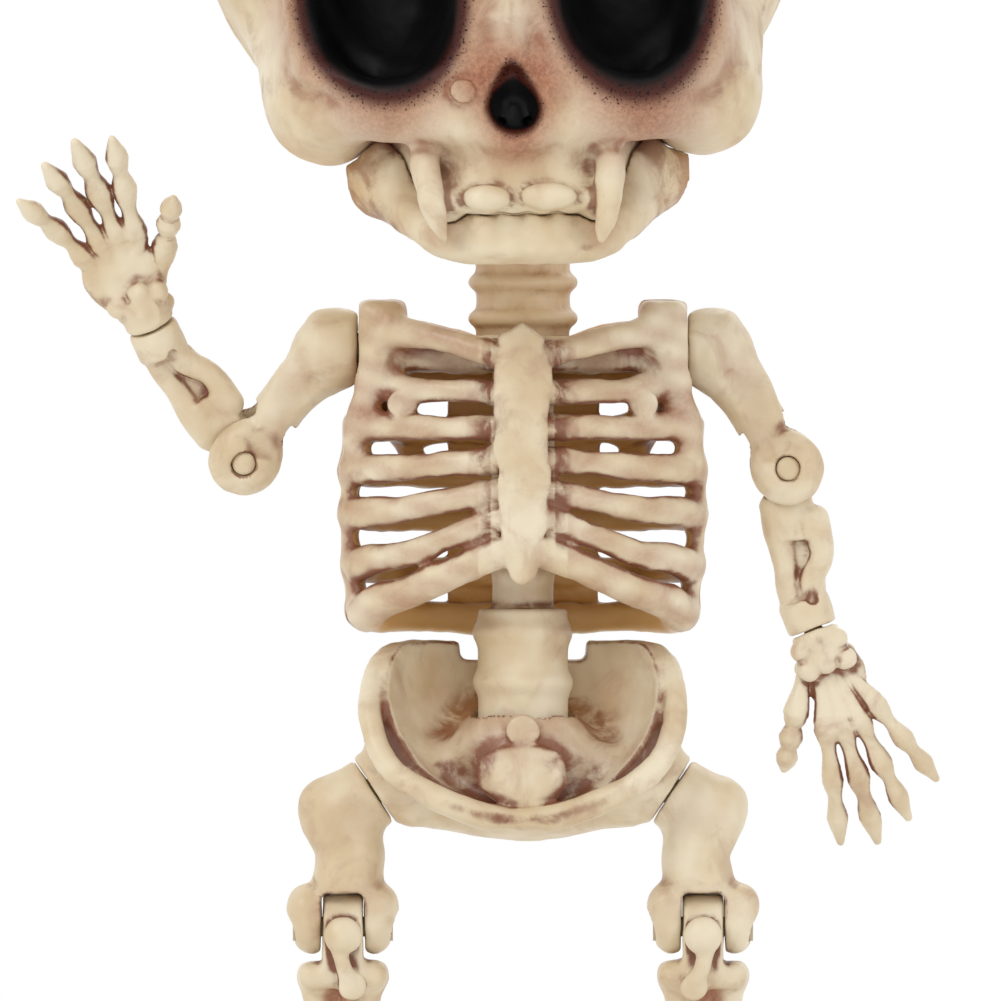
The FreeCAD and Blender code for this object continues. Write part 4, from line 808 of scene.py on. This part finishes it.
def pelvis_clay():
    clay = Clay((0, -26, 78), (46, 30, 136), 0.62)
    clay.add(egg((0, 2, 112.5), (40, 24, 30.6)), 1)
    clay.cut(egg((0, -19, 126), (35.8, 31, 36.5)), 1.5)
    clay.add(bone([(16, 14, 130), (27, 8, 130.8), (35.5, -2, 126), (38, -12, 114), (34, -18, 101.5),
                   (23, -20.5, 93.5), (10, -21, 88.6), (0, -21, 86.6)],
                  (2.4, 2.8, 3, 3, 3, 3.2, 3.4, 3.4)), 3)
    clay.add(slab((14, 3, 95.5), (17, 10, 10), 4), 4)
    clay.add(egg((0, 0, 104), (16.6, 16.6, 15)), 8)
    clay.add(bone([(0, -17, 102), (0, -18.4, 97), (0, -19, 92.5)], (4, 4.4, 3), (2.5, 0.6, 1)), 1.5)
    clay.cut(egg((0, -26, 80), (9, 9, 5)), 4)
    clay.cut(slab((0, 0, 142), (60, 60, 10), 1), 2)
    clay.cut(slab((0, 10, 136), (15.8, 30, 9), 2), 1.5)
    clay.cut(egg((30, 26, 112), (13, 6, 13)), 6)
    clay.add(disc((0, -17.6, 109.5), (0, -8, 109.5), 4.25, 0.6), 0.5)
    clay.add(disc(hip_point(-9), HIP, HIP_R + 0.4, 1), 3)
    clay.cut(disc(HIP, hip_point(14), HIP_R + 2.5, 0.3), 0.4)
    clay.bore((0, 0, 104), (0, 0, 150), 12.65, 0.4)
    return clay


def paint_pelvis(points, normals, colours):
    bowl = near(points, (0, -8, 114), (38, 26, 24))
    colours[:, 2] += 0.4 * bowl
    for side in SIDES:
        colours[:, 2] += 0.7 * near(points, (side * 14.5, -6, 121), (6, 12, 13))
    # painted shade: the bowl's inside faces that face forward get extra darkening in channel 0
    colours[:, 0] += 0.25 * bowl * (normals[:, 1] < 0)
    colours[:, 3] += 0.45 * near(points, (0, 4, 118), (34, 24, 18))


def pelvis():
    clay = pelvis_clay()
    clay.cut(slab((0, 32, 94), (60, 20, 12), 0.3), 0.5)
    clay.cut(slab((26.5, 32, 97), (3.6, 36, 6), 0.5), 0.3)
    clay.bore(hip_point(-5.6), hip_point(1), 3.7, 0.2)
    clay.bore(hip_point(-10), hip_point(-5.6), 6.4, 0.2)
    clay.bore((12, 4, 95), (12, 40, 95), 1.45, 0.1)
    clay = clay.mirrored()
    clay.roughen(0.3, 6, 51)
    clay.roughen(0.12, 2.4, 52)
    return clay


piece("pelvis", pelvis(), BODY, "torso", "bone_plastic", BONE, paint_pelvis)

# ---- legs: x counted outwards from the middle of the body ----

KNEE_X, KNEE_Z, ANKLE_X, ANKLE_Z = 45, 60.5, 46, 15
KNEE_R, KNEE_TONGUE, ANKLE_R, ANKLE_TONGUE, FIT = 8, 5, 5.4, 3.2, 0.35
KNEE, ANKLE = (KNEE_X, 0, KNEE_Z), (ANKLE_X, 0, ANKLE_Z)


def shin_sweep(x, y, z):
    """Room behind the knee for the shin's top when it folds back."""
    around = np.hypot(y, z - KNEE_Z)
    return np.maximum(np.maximum(KNEE_R + 0.7 - around, z - KNEE_Z - 5.2), -y)


def thigh_clay():
    clay = Clay((28, -14, 49), (64, 14, 106), 0.6)
    clay.add(disc(hip_point(FIT), hip_point(11), HIP_R, 1), 0.5)
    clay.add(ball(hip_point(7.5), 8.8), 2)
    clay.add(ball((50.7, 0, 92), 5), 3)
    clay.add(bone([(46.5, 0, 88), (43.2, -0.5, 79), (44.6, 0, 67)], (9.2, 8.6, 9)), 3)
    for x in (-8, 8):
        clay.add(egg((KNEE_X + x * 0.98, 0.3, KNEE_Z + 1), (5.4, 8, 8)), 3)
        clay.add(egg((KNEE_X + x * 1.2, -1, 66), (4.2, 6.4, 5)), 3)
    clay.cut(bone([(KNEE_X, -10.8, 80), (KNEE_X, -10.6, 73)], (2.2, 2.2)), 3)
    clay.cut(bone([(KNEE_X + 5, -10.8, 84), (KNEE_X + 6.5, -10.5, 73)], (1.1, 1)), 1.4)
    clay.bore(hip_point(FIT), hip_point(-30), 26, 0.3)
    clay.bore(hip_point(-2), hip_point(5.4), 3.55, 0.2)
    clay.cut(wheel(KNEE, 0, KNEE_TONGUE + FIT, KNEE_R + FIT + 0.1, 0.2), 0.5)
    clay.cut(slab((KNEE_X, 0, KNEE_Z - 10), (KNEE_TONGUE + FIT, 20, 10), 0.2), 0.5)
    clay.cut(slab((KNEE_X, -10, KNEE_Z - 2), (KNEE_TONGUE + FIT, 8, 10.5), 2), 0.8)
    clay.cut((shin_sweep, (28, -2, 49), (64, 14, KNEE_Z + 8)), 0.4)
    clay.cut(slab((KNEE_X, 12, KNEE_Z), (KNEE_TONGUE + FIT, 8.5, 7.8), 1), 0.4)
    clay.bore((0, 0, KNEE_Z), (90, 0, KNEE_Z), 2.55, 0.2)
    for side in SIDES:
        clay.bore((KNEE_X + side * 11.3, 0, KNEE_Z), (KNEE_X + side * 30, 0, KNEE_Z), 3.65, 0.4)
    return clay


def paint_leg(points, normals, colours):
    colours[:, 2] += 0.35 * near(points, (KNEE_X, -9, 66), (13, 8, 6))
    colours[:, 2] += 0.25 * near(points, (44, -8, 88), (9, 8, 7))


def shin_clay():
    clay = Clay((30, -18, 8), (62, 14, 71), 0.6)
    clay.add(wheel(KNEE, 0, KNEE_TONGUE, KNEE_R, 0.8), 0.5)
    clay.add(slab((KNEE_X, 0, 54), (KNEE_TONGUE, 7, 6), 1), 1)
    clay.add(egg((KNEE_X, -9.9, 58.4), (4.8, 3.4, 4.8)), 0.4)
    clay.add(slab((KNEE_X, 0, 48.2), (11, 7, 3.2), 2.8), 1.4)
    clay.add(bone([(40, 0, 48), (41, 0, 38), (43.5, 0, 27), (43, 0, 20)], (5.6, 4.6, 4.3, 4.6)), 3)
    clay.add(bone([(52, 0.6, 48), (51, 1, 38), (50.4, 1, 27), (50.2, 0, 20)], (3.9, 3.3, 3.1, 3.6)), 2.5)
    clay.add(slab((46.5, 0.6, 36), (5, 2.2, 13), 1), 1.6)
    clay.add(wheel(ANKLE, 0, 7.5, ANKLE_R, 1), 1)
    clay.add(slab((ANKLE_X, 0, 20), (7.5, ANKLE_R, 5), 2), 2)
    clay.add(bone([(KNEE_X + 0.6, -9, 54), (KNEE_X - 0.4, -8.6, 50), (42.6, -7, 45.6)], (2.1, 2, 2.6)), 1)
    clay.add(disc((42.6, -8.6, 45.7), (42.6, 0, 45.7), 3.4, 0.6), 0.8)
    reach = ANKLE_TONGUE + FIT
    clay.cut(wheel(ANKLE, 0, reach, ANKLE_R + 1.1, 0.2), 0.4)
    clay.cut(slab((ANKLE_X, 0, 6), (reach, 20, 9), 0.2), 0.4)
    clay.bore((0, 0, KNEE_Z), (90, 0, KNEE_Z), 2.6, 0.2)
    clay.bore((0, 0, ANKLE_Z), (90, 0, ANKLE_Z), 2.1, 0.2)
    for side in SIDES:
        clay.bore((ANKLE_X + side * 6.5, 0, ANKLE_Z), (ANKLE_X + side * 30, 0, ANKLE_Z), 3.05, 0.3)
        room = (KNEE_X + side * (KNEE_TONGUE + 0.05), 0, KNEE_Z)
        clay.bore(room, (KNEE_X + side * 30, 0, KNEE_Z), KNEE_R + 1.1, 0.2)
    return clay


def paint_shin(points, normals, colours):
    panel = near(points, (46.5, -2, 37), (5.5, 5, 13))
    colours[:, 2] += 0.9 * ease(panel, 0.05, 0.5)
    colours[:, 3] += 0.3 * ease(panel, 0.05, 0.5)


def foot_clay():
    clay = Clay((30, -46, -2), (62, 24, 22), 0.6)
    clay.add(egg((ANKLE_X, -6, 1), (9.6, 22, 8.6)), 1)
    clay.add(egg((ANKLE_X, 12.6, 4.4), (6.4, 6.2, 5.6)), 3)
    clay.add(wheel(ANKLE, 0, ANKLE_TONGUE, ANKLE_R, 0.6), 1)
    clay.add(slab((ANKLE_X, 0, 9), (ANKLE_TONGUE, ANKLE_R, 6), 1), 1.5)
    for toe in range(5):
        across, tip = (toe - 2) * 5.2, -41 + toe * 1.8
        size = 1.15 if toe == 0 else 1.0
        clay.add(bone([(ANKLE_X + across * 0.5, -2, 7.4), (ANKLE_X + across * 0.8, -14, 6.4),
                       (ANKLE_X + across, -24, 4.6)], (2.6, 2.1, 3 * size)), 1.4)
        clay.add(bone([(ANKLE_X + across, -24, 4.4), (ANKLE_X + across, -28, 3.6),
                       (ANKLE_X + across, -33, 3.2), (ANKLE_X + across, (tip - 33) / 2, 2.7),
                       (ANKLE_X + across, tip, 2.5)], (2.9 * size, 2.2, 2.9 * size, 2.1, 2.7 * size)), 0.8)
    clay.bore((0, 0, ANKLE_Z), (90, 0, ANKLE_Z), 2.1, 0.2)
    return clay


for node_side, side in (("right", -1), ("left", 1)):
    place = BODY @ Matrix.Scale(-1, 4, (1, 0, 0)) if side < 0 else BODY
    for part, make, paint, seed in (("thigh", thigh_clay, paint_leg, 61), ("shin", shin_clay, paint_shin, 63),
                                    ("foot", foot_clay, None, 65)):
        clay = make()
        clay.roughen(0.22, 5, seed + side)
        clay.roughen(0.1, 2.2, seed + 10 + side)
        if part == "foot":
            clay.field = np.maximum(clay.field, -np.broadcast_to(clay.axes[2], clay.field.shape) + 0.02)
        piece(f"{part}_{node_side}", clay, place, f"{node_side}_{part}", "bone_plastic", BONE, paint)

# ---- arms: each bone's own axes are outwards, back and up the bone ----

UPPER_LENGTH, FOREARM_LENGTH, WRIST_SLANT = 35.5, 40.5, math.radians(11.5)
ELBOW_R, ELBOW_HALF, ELBOW_TONGUE, ELBOW_ROOM = 8.2, 7.4, 3.6, 14.5
ELBOW = (0, 0, -UPPER_LENGTH)
KNUCKLE, CURL, SHOULDER_MIDDLE = 24, math.radians(16), 47.4
# angle from the hand's axis in degrees, reach of the tip, and thickness
FINGERS = ((-13, 58, 1.0), (-3.5, 60, 1.05), (6.5, 57, 1.0), (19, 52, 0.92))
THUMB = (-32, 38, 1.05)


def limb_frame(origin, up, normal, side):
    up, back = Vector(up).normalized(), Vector(normal).normalized()
    return frame_of(origin, side * back.cross(up), back, up)


def upper_arm_clay(stud):
    """Humerus from the shoulder at 0 down to the elbow; stud is the shoulder stud's way out."""
    clay = Clay((-19, -19, -48), (19, 19, 19), 0.6)
    clay.add(disc(stud * -6.05, stud * 6, 9.4, 2.5), 0.5)
    clay.add(egg(stud * 0.5, (9.4, 9.8, 10)), 2)
    clay.add(bone([(0, 0, -5), (0.6, 0, -14), (0.4, 0, -24), (0, 0, -33)], (8, 6.7, 6.5, 7.2)), 3)
    clay.add(wheel(ELBOW, 1, ELBOW_HALF, ELBOW_R, 1.6), 1.5)
    for side in SIDES:
        clay.add(egg((side * 4.4, 0, -31.5), (4.2, 6.4, 5.6)), 2.5)
        clay.add(egg((0, side * 6.0, -UPPER_LENGTH), (8.8, 3.2, 8.8)), 2)
        clay.add(egg((side * 3.4, -8, -UPPER_LENGTH), (3.6, 2, 4.6)), 1.6)
    clay.add(bone([(5.5, -4, -6), (5.5, -4.2, -15), (4, -4, -22)], (2.4, 2.2, 1.6)), 3)
    clay.cut(bone([(0, -8.9, -9), (-1.5, -7.8, -20)], (1.6, 1.3)), 2.4)
    clay.cut(egg((0, -9.4, -27), (4, 2.4, 4)), 2.4)
    clay.bore(stud * -6.05, stud * -30, 40, 0.3)
    clay.cut(wheel(ELBOW, 1, ELBOW_TONGUE + FIT, ELBOW_ROOM, 0.2), 0.4)
    clay.bore((0, -40, -UPPER_LENGTH), (0, 40, -UPPER_LENGTH), 2.05, 0.2)
    for side in SIDES:
        clay.bore((0, side * (ELBOW_HALF - 1), -UPPER_LENGTH), (0, side * 30, -UPPER_LENGTH), 3.1, 0.5)
    clay.bore(stud * -8, stud * 2.1, 4.05, 0.2)
    return clay


def forearm_clay():
    clay = Clay((-14, -11, -44), (18, 11, 10), 0.55)
    hand = np.array((math.sin(WRIST_SLANT), 0, -math.cos(WRIST_SLANT)))
    wrist = np.array((0, 0, -FOREARM_LENGTH))
    top, end = wrist - 9 * hand, wrist - 3 * hand
    clay.add(wheel((0, 0, 0), 1, ELBOW_TONGUE, ELBOW_R, 0.8), 0.3)
    clay.add(slab((0, 0, -9), (5, ELBOW_TONGUE, 9), 1), 1)
    clay.add(bone([(-4.4, 0.6, -9), (-4.6, 0.7, -15), (-4.4, 0.8, -23), top + (-2.6, 0.5, 2),
                   end - (2, 0, 0)], (4.2, 4, 3, 3.2, 3.6)), 1)
    clay.add(bone([(4.6, -0.6, -13.4), (5.2, -0.8, -22), top + (3, -0.5, 2),
                   end + (2, 0, 0)], (3.8, 2.9, 3.2, 3.8)), 1)
    clay.add(slab((0.4, 0.6, -20), (4.6, 0.8, 11), 0.6), 0.8)
    clay.add(disc(wrist - 7.5 * hand, wrist, 6.2, 0.8), 2)
    clay.add(egg((0, 4.2, -15), (3.6, 3.4, 4)), 2)
    clay.cut(bone([(0.2, -4.8, -12), (0.4, -4.4, -22), (0.8, -4.8, -33)], (1.4, 1.6, 1.2)), 1)
    clay.bore(wrist - 0.1 * hand, wrist + 20 * hand, 30, 0.2)
    clay.bore(wrist - 7.2 * hand, wrist + hand, 2.95, 0.2)
    clay.bore((0, -40, 0), (0, 40, 0), 2.1, 0.2)
    for side in SIDES:
        clay.bore((0, side * (ELBOW_TONGUE + 0.03), 0), (0, side * 30, 0), 9.3, 0.4)
    return clay


def digit(angle, length, root, knuckle, size):
    """Metacarpal and three curled finger bones with flared knuckles and a pointed tip."""
    turn = math.radians(angle)
    way = np.array((math.sin(turn), 0, -math.cos(turn)))
    bend = np.array((0, 1, 0))
    reach = (length - knuckle) / 2
    first = way * knuckle
    second = first + (way * math.cos(CURL) + bend * math.sin(CURL)) * reach
    tip = second + (way * math.cos(2 * CURL) + bend * math.sin(2 * CURL)) * reach

    def along(part):
        if part < 0.5:
            return first + (second - first) * part * 2
        return second + (tip - second) * (part * 2 - 1)
    shapes = [bone([way * root, way * (root + knuckle) / 2, way * (knuckle - 1)],
                   (2.6 * size, 1.8 * size, 3 * size))]
    stops = (0.03, 0.42, 0.74, 1.0)
    for start, end, thick, last in zip(stops, stops[1:], (3.2, 2.9, 2.7), (2.8, 2.5, 1.0)):
        middle = start + (end - start) * 0.5
        shapes.append(bone([along(start + 0.02), along(middle), along(end - 0.03)],
                           (thick * size, 1.8 * size, last * size)))
    return shapes


def hand_clay(flat_side):
    clay = Clay((-31, -9, -62), (22, 18, 9), 0.48)
    clay.add(disc((0, 0, -FIT), (0, 0, -9), 6.2, 1.2), 0.5)
    for x, y, z in ((-4.5, -3, -4), (0, -4.4, -3.4), (4.4, -3, -4.4), (-5, 2.4, -8.6), (-4.4, -2.6, -9.4),
                    (0, -3.6, -9), (4.8, -2.6, -9.6), (5, 2.6, -8.4), (0, 4, -5), (-1, 3.6, -10)):
        clay.add(egg((x, y, z), (3, 2.6, 2.9)), 0.9)
    clay.add(egg((1, flat_side * 0.6, -13), (8, 2.0, 8)), 1.5)
    if flat_side < 0:
        clay.add(egg((1.4, 0.4, -16), (10, 2.6, 10)), 2.5)
        clay.add(disc((0, 5.6, -5), (0, 0, -5), 4.2, 0.5), 1)
    stout = 1.1 if flat_side < 0 else 1.0
    shapes = [shape for angle, length, size in FINGERS
              for shape in digit(angle, length, 8, KNUCKLE, size * stout)]
    angle, length, size = THUMB
    for shape in shapes + digit(angle, length, 6, length * 0.55, size):
        clay.add(shape, 0.3)
    clay.bore((0, 0, -FIT - 0.1), (0, 0, 12), 40, 0.1)
    clay.add(disc((0, 0, 6.8), (0, 0, -4), 2.4, 0.3), 0.1)
    return clay


def elbow_pin_clay():
    """Pin through the elbow with a domed head at each end."""
    clay = Clay((-8, -15, -UPPER_LENGTH - 8), (8, 15, -UPPER_LENGTH + 8), 0.4)
    clay.add(wheel(ELBOW, 1, ELBOW_HALF, 2, 0.2), 0.1)
    for side in SIDES:
        seat, top = side * (ELBOW_HALF - 0.95), side * 8.6
        clay.add(disc((0, seat, -UPPER_LENGTH), (0, top, -UPPER_LENGTH), 2.98, 0.7), 0.3)
        clay.add(egg((0, side * 8.2, -UPPER_LENGTH), (2.98, 1.5, 2.98)), 0.3)
    return clay


def paint_upper_arm(points, normals, colours):
    colours[:, 2] += 0.3 * near(points, (-3, -8, -24), (8, 8, 8))
    colours[:, 2] += 0.35 * near(points, (3, -8, -10), (6, 8, 12))
    colours[:, 3] += 0.2 * near(points, (0, 0, -35), (10, 12, 8))


def paint_hand(points, normals, colours):
    colours[:, 2] += 0.22 * near(points, (0, 0, -8), (10, 8, 8))


for node_side, side in (("right", -1), ("left", 1)):
    shoulder, elbow, wrist = (joint_place(f"{name}_{node_side}") for name in
                              ("shoulder_swing", "elbow_bend", "wrist_turn"))
    shoulder.x = MID_X + side * SHOULDER_MIDDLE
    normal = joint_axis(f"elbow_bend_{node_side}") * -side
    palm = normal * side
    places = (("upper_arm", limb_frame(shoulder, shoulder - elbow, normal, side)),
              ("forearm", limb_frame(elbow, elbow - wrist, normal, side)),
              ("hand", limb_frame(wrist, joint_axis(f"wrist_turn_{node_side}"), palm, side)))
    piece(f"elbow_pin_{node_side}", elbow_pin_clay(), places[0][1], f"{node_side}_upper_arm",
          "peg_plastic", BONE, ending="domed")
    for part, place in places:
        if part == "upper_arm":
            clay, paint = upper_arm_clay(place.to_3x3().inverted() @ Vector((side, 0, 0))), paint_upper_arm
        elif part == "forearm":
            clay, paint = forearm_clay(), None
        else:
            clay, paint = hand_clay(side), paint_hand
        clay.roughen(0.2, 5, 71 + side)
        clay.roughen(0.1, 2, 81 + side)
        piece(f"{part}_{node_side}", clay, place, f"{node_side}_{part}", "bone_plastic", BONE, paint)


# ---- carried-over small parts ----


for node, thing in frame["nodes"].items():
    thing.data.materials.clear()
    thing.data.materials.append(STEEL if "screw" in node else PEG)

# ---- stage ----

def light(name, at, size, energy, look_at=(0, 0, 0.2)):
    """Large soft lamp that faces a point."""
    lamp = bpy.data.lights.new(name, "AREA")
    lamp.size, lamp.energy = size, energy
    thing = bpy.data.objects.new(name, lamp)
    thing.location = at
    thing.rotation_euler = (Vector(look_at) - Vector(at)).to_track_quat("-Z", "Y").to_euler()
    bpy.context.scene.collection.objects.link(thing)


floor_mesh = bpy.data.meshes.new("floor")
floor_mesh.from_pydata([(-0.5, -0.5, 0), (0.5, -0.5, 0), (0.5, 0.5, 0), (-0.5, 0.5, 0)], [], [(0, 1, 2, 3)])
floor = bpy.data.objects.new("floor", floor_mesh)
bpy.context.scene.collection.objects.link(floor)
floor_shade = Shader("floor_white")
floor_shade.surface["Base Color"].default_value = (0.93, 0.93, 0.93, 1)
floor_shade.surface["Roughness"].default_value = 0.8
floor_mesh.materials.append(floor_shade.material)

world = bpy.data.worlds.new("studio")
world.use_nodes = True
world.node_tree.nodes["Background"].inputs["Color"].default_value = (1, 1, 1, 1)
world.node_tree.nodes["Background"].inputs["Strength"].default_value = 1.0
bpy.context.scene.world = world
bpy.context.scene.view_settings.view_transform = "Standard"

light("key", (-0.9, -1.1, 1.1), 0.5, 5)
light("fill", (1.1, -1.0, 0.5), 0.8, 1.2)
light("rim", (0.3, 1.0, 1.0), 0.8, 2)

# The photograph is taken level, from straight in front of the figure's middle, and a little aside.
VIEW_WIDTH, CAMERA_DISTANCE = 0.25025, 6.0
EYE_LEVEL, CAMERA_ASIDE = 0.167, -0.0056
lens = bpy.data.cameras.new("camera")
lens.sensor_width = 36
lens.lens = lens.sensor_width * CAMERA_DISTANCE / VIEW_WIDTH
camera = bpy.data.objects.new("camera", lens)
camera.location = (MID_X * MM + CAMERA_ASIDE, MID_Y * MM - CAMERA_DISTANCE, EYE_LEVEL)
camera.rotation_euler = (math.radians(90), 0, 0)
bpy.context.scene.collection.objects.link(camera)
bpy.context.scene.camera = camera
